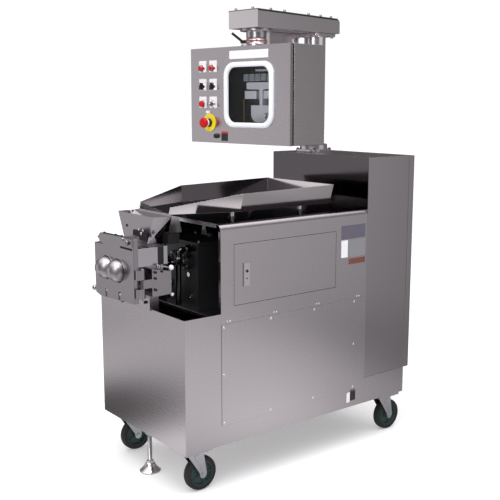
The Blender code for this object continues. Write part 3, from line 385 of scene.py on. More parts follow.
def frame_ring(outer, inner, profile, x_front, x_back):
    """Rounded frame between two matching outlines, drawn in the YZ plane."""
    shape = bmesh.new()
    loops = []
    for across, depth in profile:
        x = x_back + (x_front - x_back) * depth
        loops.append([shape.verts.new((x, o[0] + (i[0] - o[0]) * across, o[1] + (i[1] - o[1]) * across))
                      for o, i in zip(outer, inner)])
    for here, after in zip(loops, loops[1:] + loops[:1]):
        for k in range(len(outer)):
            n = (k + 1) % len(outer)
            shape.faces.new((here[k], here[n], after[n], after[k]))
    return shape


def sweep(points, radius, sides=20):
    """Round tube along a smooth list of points, with closed ends."""
    points = [Vector(p) for p in points]
    shape = bmesh.new()
    rings = []
    side = None
    for i, point in enumerate(points):
        ahead = (points[min(i + 1, len(points) - 1)] - points[max(i - 1, 0)]).normalized()
        side = (ahead.orthogonal() if side is None else side - ahead * side.dot(ahead)).normalized()
        up = ahead.cross(side)
        rings.append([shape.verts.new(point + radius * (side * math.cos(2 * math.pi * k / sides)
                                                        + up * math.sin(2 * math.pi * k / sides)))
                      for k in range(sides)])
    for here, after in zip(rings, rings[1:]):
        for k in range(sides):
            n = (k + 1) % sides
            shape.faces.new((here[k], here[n], after[n], after[k]))
    shape.faces.new(rings[0])
    shape.faces.new(rings[-1])
    return shape


def elbow(start, corner, end, radius, steps=8):
    """Points from start to end with a round bend of the given radius at the corner."""
    start, corner, end = Vector(start), Vector(corner), Vector(end)
    first, second = (start - corner).normalized(), (end - corner).normalized()
    a, b = corner + first * radius, corner + second * radius
    points = [start]
    for step in range(steps + 1):
        t = step / steps
        points.append(a * (1 - t) ** 2 + corner * 2 * t * (1 - t) + b * t * t)
    return points + [end]


def cap_screw(at, direction, radius, height=None):
    """Socket cap screw seen from outside: knurl-less head with a recess."""
    height = height or radius * 1.1
    profile = [(0, height * 0.35), (radius * 0.48, height * 0.45), (radius * 0.52, height), (radius * 0.86,
            height),
               (radius, height * 0.86), (radius, 0), (0, 0)]
    return lathe(profile, at, direction, 24)


def pan_screw(at, direction, radius):
    """Low domed screw head with a shallow driver recess and a plain washer."""
    rise = radius * 0.55
    profile = [(0, rise * 0.45), (radius * 0.28, rise * 0.55), (radius * 0.34, rise), (radius * 0.62, rise
            * 0.92),
               (radius * 0.9, rise * 0.55), (radius, rise * 0.18), (radius * 1.25, rise * 0.16),
               (radius * 1.25, 0), (0, 0)]
    return lathe(profile, at, direction, 24)


def hex_nut(at, direction, across, height):
    """Chamfered hexagon nut or bolt head."""
    corner = across / math.sqrt(3)
    profile = [(0, 0), (corner * 0.94, 0), (corner, height * 0.14), (corner, height * 0.86), (corner * 0.9,
            height),
               (corner * 0.45, height), (corner * 0.42, height * 0.8), (0, height * 0.8)]
    return lathe(profile, at, direction, 6)


def tinted(shape, index):
    """Give a shape's faces a material slot number."""
    for face in shape.faces:
        face.material_index = index
    return shape


def merged(shapes):
    whole = bmesh.new()
    for shape in shapes:
        part = bpy.data.meshes.new("part")
        shape.to_mesh(part)
        shape.free()
        whole.from_mesh(part)
        bpy.data.meshes.remove(part)
    return whole


def piece(name, shapes, materials, body, at=IN_MACHINE, replaces=(), smooth=40):
    """Make one visible piece from closed shapes, and let it ride on a body."""
    whole = merged(shapes if isinstance(shapes, list) else [shapes])
    bmesh.ops.recalc_face_normals(whole, faces=whole.faces)
    mesh = bpy.data.meshes.new(name)
    whole.to_mesh(mesh)
    whole.free()
    mesh.transform(at)
    for material in materials if isinstance(materials, list) else [materials]:
        mesh.materials.append(material)
    mesh.shade_smooth()
    mesh.set_sharp_from_angle(angle=math.radians(smooth))
    made = bpy.data.objects.new(name, mesh)
    bpy.context.scene.collection.objects.link(made)
    weighted = made.modifiers.new("weighted normals", "WEIGHTED_NORMAL")
    weighted.keep_sharp = True
    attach(made, body)
    if replaces:
        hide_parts(*replaces)
    return made


def refined(node_name, width=0.0008, segments=2, angle=28):
    """Copy of a CAD node with clean flats and rounded edges, in world coordinates."""
    shape = bmesh.new()
    shape.from_mesh(frame["nodes"][node_name].data)
    bmesh.ops.remove_doubles(shape, verts=shape.verts, dist=0.00002)
    bmesh.ops.dissolve_limit(shape, angle_limit=math.radians(0.6), verts=shape.verts, edges=shape.edges)
    for face in shape.faces:
        face.material_index = 0
    return round_edges(shape, width, segments, angle)


def painted(shape, wanted):
    """Give the second material to the faces that pass a test; here it is always a painted dark reflection."""
    shape.normal_update()
    for face in shape.faces:
        if wanted(face):
            face.material_index = 1
    return shape


def keep(node_name, material):
    """Carry a CAD node over as it is, with its own material."""
    mesh = frame["nodes"][node_name].data
    mesh.materials.clear()
    mesh.materials.append(material)


def redo(node_name, material, body, name=None, width=0.0008, segments=2, angle=28, extra=()):
    """Stand a refined copy of a CAD node in its place."""
    return piece(name or node_name + "_skin", [refined(node_name, width, segments, angle), *extra], material,
                 body,
                 IN_WORLD, (node_name,))


# ------------------------------------------------------------ base and cabinets
def dress_base():
    redo("base_cabinet", SATIN, "machine", "base_shell", 0.0010)
    for side in ("near", "far"):
        outward = -Y if side == "near" else Y
        low, high = machine_box("side_panel_" + side)
        redo("side_panel_" + side, SATIN, "machine", width=0.0006)
        face = low.y if side == "near" else high.y
        inset = 0.010
        columns = [low.x + inset + (high.x - low.x - 2 * inset) * k / 3 for k in range(4)]
        rows = [low.z + inset, (low.z + high.z) / 2 + 0.003, high.z - inset]
        heads = [pan_screw((x, face, z), outward, 0.0040) for z in rows for x in columns
                 if z != rows[1] or x in (columns[0], columns[-1])]
        piece("side_panel_screws_" + side, heads, CHROME, "machine")
    # blank rating plates low on the operator's side
    low, high = machine_box("base_cabinet")
    near = low.y
    piece("base_plates", [block((0.214, near - 0.0008, 0.186), (0.232, near + 0.0002, 0.226), 0.0003),
                          tinted(block((0.236, near - 0.0008, 0.190), (0.262, near + 0.0002, 0.226), 0.0003),
                                 1),
                          tinted(block((0.236, near - 0.0009, 0.227), (0.262, near + 0.0002, 0.233), 0.0003),
                                 2)],
          [PAPER, BLACK, RUST_RED], "machine")
    # folded rim round the open tub
    rim = high.z
    front, end = low.x, -0.391
    lip = 0.010
    strips = [block((front + 0.003, low.y + 0.003, rim - lip), (end, low.y + 0.0045, rim - 0.0005), 0.0004),
              block((front + 0.003, high.y - 0.0045, rim - lip), (end, high.y - 0.003, rim - 0.0005), 0.0004)]
    piece("tub_rim", strips, BRIGHT, "machine")


def dress_cover():
    low, high = machine_box("drive_cover")
    # Faces that look up get the darker steel: a painted dark reflection on the cover's top.
    skin = painted(refined("drive_cover", 0.0007), lambda face: face.normal.z > 0.75)
    piece("drive_cover_skin", skin, [SATIN, PAINTED_DARK_REFLECTION], "machine", IN_WORLD,
          ("drive_cover",))
    # paired screws along the seam with the base
    seam = low.z + 0.007
    spots = [-0.357, -0.150, 0.057, 0.267]
    heads = [pan_screw((x + dx, y, seam), d, 0.0032) for x in spots for dx in (-0.006, 0.006)
             for y, d in ((low.y, -Y), (high.y, Y))]
    piece("cover_screws", heads, CHROME, "machine")
    # inner lip that stiffens the open end
    lip = [block((low.x + 0.0005, low.y + 0.0025, low.z + 0.002), (low.x + 0.0020, low.y + 0.014,
            high.z - 0.026), 0.0003),
           block((low.x + 0.0005, high.y - 0.014, low.z + 0.002), (low.x + 0.0020, high.y - 0.0025,
                   high.z - 0.026), 0.0003),
           block((low.x + 0.0005, low.y + 0.026, high.z - 0.014), (low.x + 0.0020, high.y - 0.026,
                   high.z - 0.0025), 0.0003)]
    piece("cover_lip", lip, BRIGHT, "machine")
    gusset = prism([(low.y + 0.085, high.z - 0.046), (low.y + 0.118, high.z - 0.046), (low.y + 0.108,
            high.z - 0.012),
                    (low.y + 0.094, high.z - 0.012)], low.x + 0.0022, low.x + 0.0042, "yz", 0.0004)
    piece("cover_gusset", gusset, BRIGHT, "machine")
    # blank plates on the operator's side
    face = low.y
    plates = [block((0.172, face - 0.0008, 0.838), (0.298, face + 0.0002, 0.890), 0.0003),
              tinted(block((0.172, face - 0.0008, 0.768), (0.206, face + 0.0002, 0.834), 0.0003), 1),
              tinted(block((0.209, face - 0.0008, 0.768), (0.298, face + 0.0002, 0.834), 0.0003), 2),
              tinted(block((0.213, face - 0.0009, 0.739), (0.300, face + 0.0002, 0.761), 0.0003), 3)]
    piece("cover_plates", plates, [MUTED, PAPER, METER, RUST_RED], "machine")


def dress_access_door():
    redo("cover_door", SATIN, "cover_door", width=0.0005)
    low, high = machine_box("cover_door")
    axis = IN_MACHINE.inverted() @ PIVOT["cover_latch_turn"]
    front = low.y
    bezel = [prism(rounded(0.0125, 0.040, 0.0030, (axis.x, 0.763)), front - 0.0008, front + 0.0004, "xz",
                   0.0003)]
    keyhole = [lathe([(0, 0.0016), (0.0022, 0.0016), (0.0026, 0.0012), (0.0026, 0), (0, 0)],
                     (axis.x, front - 0.0006, 0.749), -Y, 20)]
    piece("cover_door_bezel", bezel, BRIGHT, "cover_door")
    piece("cover_door_keyhole", keyhole, BLACK, "cover_door")
    keep("cover_latch", MACHINED)
    button = lathe([(0, 0.0030), (0.0040, 0.0030), (0.0052, 0.0022), (0.0056, 0.0004), (0.0056, 0), (0, 0)],
                   (axis.x, front - 0.0009, axis.z), -Y, 40)
    piece("cover_latch_button", button, GASKET, "cover_latch")
    # slim piano hinge on the +X edge
    hinge = [rod((high.x - 0.0016, high.y + 0.0030, z), (high.x - 0.0016, high.y + 0.0030, z + 0.030), 0.0022,
                 16)
             for z in (low.z + 0.012, high.z - 0.045)]
    piece("cover_door_hinge", hinge, MACHINED, "cover_door")


def dress_rear_cabinet():
    # Faces that look towards -X get the darker steel: a painted dark reflection on the cabinet's front.
    skin = painted(refined("rear_cabinet", 0.0012), lambda face: face.normal.x < -0.75)
    piece("rear_cabinet_skin", skin, [SATIN_TALL, PAINTED_DARK_REFLECTION], "machine", IN_WORLD,
          ("rear_cabinet",))
    redo("rear_door", SATIN_TALL, "rear_door", width=0.0012)
    low, high = machine_box("rear_door")
    cabinet_low, cabinet_high = machine_box("rear_cabinet")
    gap = block((cabinet_high.x + 0.0001, cabinet_low.y + 0.004, cabinet_low.z + 0.004),
                (cabinet_high.x + 0.0006, cabinet_low.y + 0.012, cabinet_high.z - 0.004), 0)
    piece("rear_door_gasket", gap, GASKET, "machine")
    # hinge pins on the far edge
    axis = IN_MACHINE.inverted() @ PIVOT["rear_door_hinge"]
    pins = [rod((axis.x, axis.y + 0.0065, z - 0.03), (axis.x, axis.y + 0.0065, z + 0.03), 0.0035, 24)
            for z in (low.z + 0.12, high.z - 0.12)]
    piece("rear_door_hinges", pins, MACHINED, "rear_door")
    handle = IN_MACHINE.inverted() @ PIVOT["rear_handle_turn"]
    escutcheon = lathe([(0.0085, 0), (0.0200, 0), (0.0200, 0.0010), (0.0185, 0.0016), (0.0085, 0.0016)],
                       (high.x, handle.y, handle.z), X, 48, closed=True)
    piece("rear_handle_plate", escutcheon, CHROME, "rear_door")
    redo("rear_door_handle", BRIGHT, "rear_handle", width=0.0020, segments=3)
    louvres = []
    for k in range(9):
        z = low.z + 0.10 + 0.016 * k
        louvres.append(prism([(high.x - 0.0005, z), (high.x + 0.0042, z), (high.x + 0.0048, z + 0.0015),
                              (high.x - 0.0005, z + 0.0090)], -0.080, 0.080, "xz", 0.0004))
    for shape in louvres:
        bmesh.ops.translate(shape, vec=(0, (low.y + high.y) / 2, 0), verts=shape.verts)
    piece("rear_door_louvres", louvres, SATIN_TALL, "rear_door")
    dress_inverter()


def dress_inverter():
    """Drive inverter: ribbed case, keypad and terminal cover."""
    low, high = machine_box("inverter")
    mid_y = (low.y + high.y) / 2
    case = [block(low, (high.x - 0.006, high.y, high.z), 0.004, 3)]
    for k in range(11):
        y = low.y + 0.018 + (high.y - low.y - 0.036) * k / 10
        case.append(block((high.x - 0.0075, y - 0.0035, high.z - 0.075), (high.x - 0.0030, y + 0.0035,
                high.z - 0.012), 0.0008))
    case.append(tinted(block((high.x - 0.007, mid_y - 0.040, 0.735), (high.x - 0.001, mid_y + 0.040, 0.805),
                             0.002, 3), 1))
    case.append(tinted(block((high.x - 0.0016, mid_y - 0.026, 0.775), (high.x - 0.0004, mid_y + 0.026, 0.797),
                             0.0004), 2))
    for row in range(2):
        for column in range(4):
            at = (high.x - 0.0014, mid_y - 0.024 + 0.016 * column, 0.748 + 0.014 * row)
            case.append(tinted(lathe([(0, 0.0018), (0.0038, 0.0018), (0.0046, 0.0010), (0.0046, 0), (0, 0)],
                                     at, X, 20), 3))
    case.append(tinted(block((high.x - 0.007, low.y + 0.010, 0.560), (high.x - 0.002, high.y - 0.010, 0.640),
                             0.002, 3), 1))
    piece("inverter_case", case, [METER, BLACK, PANEL, PAPER], "machine",
          replaces=("inverter",))


# ------------------------------------------------------------ castors and levelling foot
def dress_castor(which):
    """Swivel castor: bolted plate, raceway, pressed fork legs, axle bolt and ribbed wheel."""
    swivel = PIVOT["castor_swivel_" + which]
    axle = PIVOT["castor_roll_" + which]
    wheel_low, wheel_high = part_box("castor_wheel_" + which)
    radius = (wheel_high.x - wheel_low.x) / 2
    width = (wheel_high.y - wheel_low.y) / 2
    plate_low = 0.157
    # fixed plate bolts under the base
    bolts = [hex_nut((swivel.x + sx * 0.040, swivel.y + sy * 0.036, plate_low - 0.0002), -Z, 0.013, 0.006)
             for sx in (-1, 1) for sy in (-1, 1)]
    piece("castor_bolts_" + which, bolts, ZINC, "machine", IN_WORLD)

    body = "castor_fork_" + which
    crown_top = plate_low - 0.0004
    crown = lathe([(0, crown_top), (0.027, crown_top), (0.029, crown_top - 0.002), (0.029, crown_top - 0.006),
                   (0.033, crown_top - 0.008), (0.033, crown_top - 0.011), (0.026, crown_top - 0.0135),
                   (0, crown_top - 0.0135)],
                  (swivel.x, swivel.y, 0), Z, 48)
    leg = width + 0.0035
    thick = 0.0026
    shapes = [crown, rod((swivel.x, swivel.y, crown_top - 0.006), (swivel.x, swivel.y, crown_top + 0.012),
                         0.0055)]
    crown_z = crown_top - 0.012
    bridge = prism([(swivel.x - 0.032, crown_z), (swivel.x + 0.036, crown_z), (swivel.x + 0.036, crown_z
            + 0.0032),
                    (swivel.x - 0.032, crown_z + 0.0032)], swivel.y - leg - thick, swivel.y + leg + thick,
                   "xz", 0.0012)
    shapes.append(bridge)
    outline = [(swivel.x - 0.030, crown_z + 0.002), (swivel.x + 0.037, crown_z + 0.002), (axle.x + 0.0150,
            axle.z + 0.004)]
    outline += [(axle.x + 0.0135 * math.cos(a), axle.z - 0.002 + 0.0135 * math.sin(a))
                for a in (-math.pi * k / 8 for k in range(1, 8))]
    outline += [(axle.x - 0.0150, axle.z + 0.006)]
    for side in (-1, 1):
        inner, outer = sorted((swivel.y + side * leg, swivel.y + side * (leg + thick)))
        shapes.append(prism(outline, inner, outer, "xz", 0.0009))
        # pressed rib down the leg
        rib = [(swivel.x - 0.004, crown_z - 0.006), (swivel.x + 0.016, crown_z - 0.006), (axle.x + 0.004,
                axle.z + 0.018),
               (axle.x - 0.004, axle.z + 0.018)]
        edge = swivel.y + side * (leg + thick)
        shapes.append(prism(rib, min(edge, edge + side * 0.0016), max(edge, edge + side * 0.0016), "xz",
                            0.0007))
        shapes.append(hex_nut((axle.x, edge, axle.z), Y * side, 0.013, 0.0052))
    shapes.append(rod((axle.x, swivel.y - leg, axle.z), (axle.x, swivel.y + leg, axle.z), 0.0049))
    piece("castor_fork_skin_" + which, shapes, ZINC, body, IN_WORLD, ("castor_fork_"
            + which,))

    wheel = "castor_wheel_" + which
    tyre = [(radius * 0.74, -width * 0.92)]
    tyre += [(radius * 0.74 + radius * 0.14, -width), (radius * 0.93, -width * 0.94)]
    tyre += [(radius - 0.0035 * (1 - math.cos(a)), width * 0.86 * math.sin(a)) for a in
             (math.radians(d) for d in (-75, -50, -25, 0, 25, 50, 75))]
    tyre += [(radius * 0.93, width * 0.94), (radius * 0.88, width), (radius * 0.74, width * 0.92)]
    at = (axle.x, axle.y, axle.z)
    hub = [(0.0056, -width), (0.0150, -width), (0.0170, -width * 0.9), (0.0185, -width * 0.35),
           (radius * 0.62, -width * 0.30),
           (radius * 0.68, -width * 0.80), (radius * 0.745, -width * 0.84), (radius * 0.745, width * 0.84),
           (radius * 0.68, width * 0.80), (radius * 0.62, width * 0.30), (0.0185, width * 0.35),
           (0.0170, width * 0.9),
           (0.0150, width), (0.0056, width)]
    shapes = [lathe(tyre, at, Y, 96, closed=True), tinted(lathe(hub, at, Y, 64, closed=True), 1)]
    for k in range(5):
        angle = 2 * math.pi * k / 5
        out = Vector((math.cos(angle), 0, math.sin(angle)))
        for side in (-1, 1):
            face = Vector(at) + Y * side * width * 0.36
            spoke = rod(face + out * 0.017, face + out * radius * 0.66, 0.0040, 12)
            shapes.append(tinted(spoke, 1))
    for side in (-1, 1):
        washer = lathe([(0.0056, 0), (0.0110, 0), (0.0110, 0.0007), (0.0056, 0.0007)],
                       (axle.x, axle.y + side * width, axle.z), Y * side, 40, closed=True)
        shapes.append(tinted(washer, 2))
    piece("castor_wheel_skin_" + which, shapes, [TYRE, HUB, ZINC], wheel, IN_WORLD, (wheel,))


def dress_levelling_foot():
    low, high = machine_box("levelling_foot")
    x, y = (low.x + high.x) / 2, (low.y + high.y) / 2
    pad = (high.x - low.x) / 2
    stem = 0.0083
    profile = [(0, 0.0), (pad - 0.0015, 0.0), (pad, 0.0015), (pad, 0.0050), (pad - 0.0020, 0.0065),
               (pad * 0.86, 0.0100),
               (pad * 0.62, 0.0200), (pad * 0.50, 0.0290), (pad * 0.44, 0.0330), (pad * 0.36, 0.0350),
               (pad * 0.34, 0.0410),
               (stem, 0.0430)]
    pitch, start, end = 0.0020, 0.0460, 0.1720
    turns = int((end - start) / pitch)
    for k in range(turns):
        z = start + pitch * k
        profile += [(stem - 0.0010, z), (stem, z + pitch * 0.5)]
    profile += [(stem - 0.0010, end), (stem - 0.0010, high.z), (0, high.z)]
    piece("levelling_foot_skin", lathe(profile, (x, y, 0), Z, 64), CHROME, "levelling_foot",
          replaces=("levelling_foot",))
    nuts = [hex_nut((x, y, 0.153), -Z, 0.027, 0.010)]
    piece("levelling_locknut", nuts, ZINC, "machine")


# ------------------------------------------------------------ drive train inside the cover
def dress_drive():
    redo("gearbox_case", CAST, "machine", width=0.0025, segments=3)
    redo("gearbox_lid", CAST, "machine", width=0.0020, segments=3)
    redo("drive_bed", MACHINED, "machine", width=0.0012)
    low, high = machine_box("gearbox_lid")
    spots = [(x, y) for x in (low.x + 0.014, (low.x + high.x) / 2, high.x - 0.014) for y in (low.y + 0.012,
            high.y - 0.012)]
    bolts = [cap_screw((x, y, high.z - 0.0004), Z, 0.0055) for x, y in spots]
    bolts.append(hex_nut(((low.x + high.x) / 2, 0.0, high.z - 0.0004), Z, 0.024, 0.012))
    for y in (PIVOT["screw_near_spin"].y, PIVOT["screw_far_spin"].y):
        y -= IN_MACHINE.translation.y
        for k in range(6):
            angle = 2 * math.pi * (k + 0.5) / 6
            at = (low.x - 0.0158, y + 0.0235 * math.cos(angle), 0.782 + 0.0235 * math.sin(angle))
            bolts.append(cap_screw(at, -X, 0.0033))
    piece("gearbox_bolts", bolts, ZINC, "machine")
    # oil level glass and drain plug on the front wall
    glass = [tinted(lathe([(0, 0.003), (0.010, 0.003), (0.010, 0), (0, 0)], (low.x, 0.072, 0.690), -X, 40),
                    1),
             lathe([(0.010, 0), (0.016, 0), (0.016, 0.004), (0.0135, 0.006), (0.010, 0.006)], (low.x, 0.072,
                     0.690), -X, 40,
                   closed=True),
             hex_nut((low.x, -0.070, 0.655), -X, 0.019, 0.008), hex_nut((low.x, -0.053, 0.736), -X, 0.017,
                     0.007)]
    piece("gearbox_fittings", glass, [CHROME, BALL], "machine")
    dress_motor()
    for name in ("timing_gear_near", "timing_gear_far", "drive_pinion"):
        body = {"timing_gear_near": "screw_near", "timing_gear_far": "screw_far",
                "drive_pinion": "drive_shaft"}[name]
        redo(name, MACHINED, body, width=0.0004, angle=35)


def dress_motor():
    """Flange gear motor: ribbed stator, end bells, fan cowl and terminal box."""
    low, high = machine_box("drive_motor")
    axis_y = PIVOT["drive_shaft_spin"].y - IN_MACHINE.translation.y
    axis_z = PIVOT["drive_shaft_spin"].z
    start, end = low.x, high.x
    length = end - start
    radius = 0.078
    profile = [(0.013, 0), (radius, 0), (radius, 0.014), (radius - 0.012, 0.018), (radius - 0.012, 0.050),
               (radius - 0.007, 0.056),
               (radius - 0.007, length - 0.075), (radius - 0.003, length - 0.070), (radius - 0.003,
                       length - 0.012),
               (radius - 0.009, length - 0.002), (radius - 0.016, length), (0.020, length),
               (0.020, length - 0.004), (0.0, length - 0.004),
               (0.0, 0.046), (0.013, 0.046)]
    shapes = [lathe(profile, (start, axis_y, axis_z), X, 64, closed=True)]
    ribs = 30
    for k in range(ribs):
        angle = 2 * math.pi * k / ribs
        out = Vector((0, math.cos(angle), math.sin(angle)))
        if out.z > 0.75 or out.z < -0.80:
            continue
        side = Vector((0, -out.z, out.y))
        rib = bmesh.new()
        bmesh.ops.create_cube(rib, size=1.0)
        turn = Matrix((X, side, out)).transposed().to_4x4()
        at = Vector(((start + end) / 2 - 0.010, axis_y, axis_z)) + out * (radius - 0.0065)
        bmesh.ops.transform(rib, matrix=Matrix.Translation(at) @ turn @ Matrix.Diagonal((length - 0.140,
                0.0020, 0.0090, 1)),
                            verts=rib.verts)
        shapes.append(round_edges(rib, 0.0006, 1))
    foot = block((-0.030, axis_y - 0.060, low.z), (0.200, axis_y + 0.060, low.z + 0.010), 0.0015)
    shapes += [foot, block((-0.030, axis_y - 0.030, low.z), (0.200, axis_y - 0.020, axis_z - 0.055), 0.0015),
               block((-0.030, axis_y + 0.020, low.z), (0.200, axis_y + 0.030, axis_z - 0.055), 0.0015)]
    shapes += [block((0.020, axis_y - 0.045, axis_z + 0.060), (0.130, axis_y + 0.045, axis_z + 0.098), 0.004,
                     3),
               tinted(block((0.018, axis_y - 0.047, axis_z + 0.0985), (0.132, axis_y + 0.047, axis_z + 0.113),
                            0.004, 3), 1)]
    for sx in (0.028, 0.122):
        for sy in (-0.037, 0.037):
            shapes.append(tinted(pan_screw((sx, axis_y + sy, axis_z + 0.1128), Z, 0.0036), 2))
    shapes.append(tinted(block((0.150, axis_y - 0.0785, axis_z - 0.010), (0.190, axis_y - 0.0700, axis_z
            + 0.016), 0.001), 3))
    piece("drive_motor_skin", shapes, [MOTOR, CAST, ZINC, METER], "machine",
          replaces=("drive_motor",))


# ------------------------------------------------------------ die head
SCREW_Z = PIVOT["screw_near_spin"].z
NEAR_Y = PIVOT["screw_near_spin"].y - IN_MACHINE.translation.y
FAR_Y = PIVOT["screw_far_spin"].y - IN_MACHINE.translation.y


def dress_head():
    redo("barrel_housing", MACHINED, "machine", width=0.0012)
    redo("head_bracket", MACHINED, "machine", width=0.0012)
    redo("hinge_block", HEAD_STEEL, "machine", width=0.0010)
    redo("hinge_pin", CHROME, "machine", width=0.0004)
    for name in ("screw_near", "screw_far"):
        keep(name, CHROME)
    low, high = machine_box("barrel_housing")
    block_low, _ = machine_box("hinge_block")
    # screws in the hinge block's face, and cap screws on the barrel's top and flange
    face = block_low.y
    heads = [cap_screw((x, face, z), -Y, r) for x, z, r in
             ((-0.574, 0.787, 0.0050), (-0.574, 0.766, 0.0046), (-0.574, 0.727, 0.0050), (-0.548, 0.787,
                     0.0040))]
    heads += [cap_screw((x, y, high.z - 0.0003), Z, 0.0050) for x, y in ((-0.617, -0.128), (-0.617, 0.110),
            (-0.518, 0.110),
                                                                         (-0.518, -0.128))]
    heads += [cap_screw((-0.5565, y, 0.664), -X, 0.0055) for y in (-0.070, 0.070)]
    piece("head_screws", heads, BLACK, "machine")
    # packing in the relief behind the flange
    packing = block((-0.5487, low.y + 0.0005, 0.8063), (-0.5263, low.y + 0.0345, high.z - 0.0005), 0.0008)
    piece("flange_packing", packing, GASKET, "machine")
    piece("bracket_studs", [rod((-0.590 + 0.020 * k, -0.150, 0.699), (-0.590 + 0.020 * k, -0.150, 0.7035),
                                0.0045, 24)
                            for k in range(1, 4)], GASKET, "machine")


def dress_die_plate():
    plate = refined("die_plate", 0.0012)
    piece("die_plate_skin", plate, HEAD_STEEL, "die_door", IN_WORLD, ("die_plate",))
    low, high = machine_box("die_plate")
    front = low.x
    for suffix, y in (("near", NEAR_Y), ("far", FAR_Y)):
        dome_low, dome_high = machine_box("dome_die_" + suffix)
        radius = (dome_high.z - dome_low.z) / 2
        rim = dome_high.x
        base = dome_low.x + radius
        steps = 20
        outer = [(radius * math.cos(a), base - radius * math.sin(a)) for a in (math.pi / 2 * k / steps
                for k in range(steps))]
        thickness = 0.0016
        inside = radius - thickness
        inner = [(inside * math.cos(a), base - inside * math.sin(a)) for a in (math.pi / 2 * k / steps
                for k in range(steps))]
        profile = [(0, base - inside)] + list(reversed(inner)) + [(inside, rim), (radius, rim)] + outer + [(0,
                base - radius)]
        shell = lathe([(r, x) for r, x in profile], (0, y, SCREW_Z), X, 96)
        skin = steel("dome_screen_" + suffix, (0.52, 0.50, 0.52), 0.33, (40, 40, 40), 4.0, tint=0.05,
                     spread=0.04,
                     relief=0.00002, strength=0.15)
        centre = IN_MACHINE @ Vector((base, y, SCREW_Z))
        perforated(skin, centre, radius, 0.0021, 0.0011)
        piece("dome_screen_" + suffix, shell, skin, "die_door", replaces=("dome_die_"
                + suffix,))
        # bevelled seat ring round each dome, broken where the two meet
        seat = lathe([(radius + 0.0023, 0.0003), (radius + 0.0026, -0.0006), (radius + 0.0046, -0.0006),
                      (radius + 0.0052, 0.0003)], (front, y, SCREW_Z), X, 96, closed=True)
        keep_side = 1 if y > 0 else -1
        stray = [v for v in seat.verts if v.co.y * keep_side < 0.0004]
        bmesh.ops.delete(seat, geom=stray, context="VERTS")
        bmesh.ops.holes_fill(seat, edges=[e for e in seat.edges if len(e.link_faces) == 1])
        piece("dome_seat_" + suffix, seat, HEAD_STEEL, "die_door")
        gap = lathe([(radius + 0.0003, 0.0060), (radius + 0.0003, 0.0035), (radius + 0.0019, 0.0035),
                     (radius + 0.0019, 0.0060)], (front, y, SCREW_Z), X, 96, closed=True)
        piece("dome_packing_" + suffix, gap, GASKET, "die_door")
    # clamp block with its bolt, slot insert and swing bolts
    clamp = [block((front - 0.0060, -0.1455, 0.8745), (front + 0.0002, -0.0930, 0.9025), 0.0015),
             hex_nut((front - 0.0058, -0.1215, 0.8890), -X, 0.0150, 0.0070),
             lathe([(0, 0.0050), (0.0050, 0.0045), (0.0064, 0.0020), (0.0064, 0), (0, 0)], (front, -0.0790,
                     0.8950), -X, 32)]
    piece("die_clamp_block", clamp, HEAD_STEEL, "die_door")
    slots = [block((front + 0.0030, -0.1375, 0.8640), (front + 0.0120, -0.0585, 0.8690), 0.0002)]
    for y, bottom, top in ((0.045, 0.673, 0.7045), (-0.047, 0.673, 0.7075)):
        slots.append(block((front + 0.0040, y - 0.0076, bottom), (front + 0.0140, y + 0.0076, top), 0.0002))
    piece("die_slots", slots, GASKET, "die_door")
    bolts = []
    for y in (0.045, -0.047):
        bolts.append(rod((front + 0.0035, y - 0.0015, 0.6745), (front + 0.0035, y - 0.0015, 0.7005), 0.0040))
        bolts.append(lathe([(0, 0.0040), (0.0050, 0.0034), (0.0060, 0.0015), (0.0060, 0), (0, 0)],
                           (front + 0.0030, y - 0.0015, 0.7000), -X, 28))
    piece("swing_bolts", bolts, BRIGHT, "die_door")
    # stop knob on the far edge and the pair of locating pins on the top slope
    knob = [rod((front + 0.009, high.y - 0.002, 0.690), (front + 0.009, high.y + 0.020, 0.690), 0.0030),
            lathe([(0, -0.0100), (0.0062, -0.0078), (0.0095, -0.0025), (0.0095, 0.0025), (0.0062, 0.0078),
                   (0, 0.0100)],
                  (front + 0.009, high.y + 0.026, 0.690), Y, 40)]
    piece("die_stop_knob", knob, MACHINED, "die_door")
    pins = [lathe([(0, 0.0045), (0.0036, 0.0040), (0.0044, 0.0015), (0.0044, 0), (0, 0)], (front + 0.006, y,
            z), Z, 24)
            for y, z in ((0.060, 0.9000), (-0.020, 0.9020), (-0.060, 0.9025))]
    piece("die_pins", pins, GASKET, "die_door")


def dress_clamp_lever():
    at = IN_MACHINE.inverted() @ PIVOT["clamp_lever_turn"]
    bottom = machine_box("hinge_block")[1].z + 0.0005
    boss = lathe([(0, bottom), (0.0085, bottom), (0.0085, bottom + 0.0095), (0.0070, bottom + 0.0120),
                  (0, bottom + 0.0120)],
                 (at.x, at.y, 0), Z, 40)
    end_z = bottom + 0.008 - 0.013
    start = Vector((at.x, at.y, bottom + 0.008))
    tip = Vector((at.x + 0.0520, at.y, end_z))
    direction = (tip - start).normalized()
    bar = rod(start + direction * 0.003, tip, 0.0030, 20)
    knob = ball_profile(0.0095, 16)
    shapes = [boss, bar, tinted(lathe(knob, tip, direction, 40), 1)]
    piece("clamp_lever_skin", shapes, [BRIGHT, BALL], "clamp_lever",
          replaces=("clamp_lever",))
    # small fixed grip below it
    low_ball = Vector((-0.499, -0.152, 0.699))
    grip = ball_profile(0.0060, 12)
    piece("drain_grip", [tinted(lathe(grip, low_ball, Z, 32), 1), rod((-0.511, -0.1480, 0.7120), low_ball,
            0.0022, 16)],
          [MACHINED, BALL], "machine")


# ------------------------------------------------------------ feed hopper, tray and pipes
FOOT_X, FOOT_Y = (-0.240, 0.080), (-0.150, 0.150)
FOOT_TOP = 0.9682


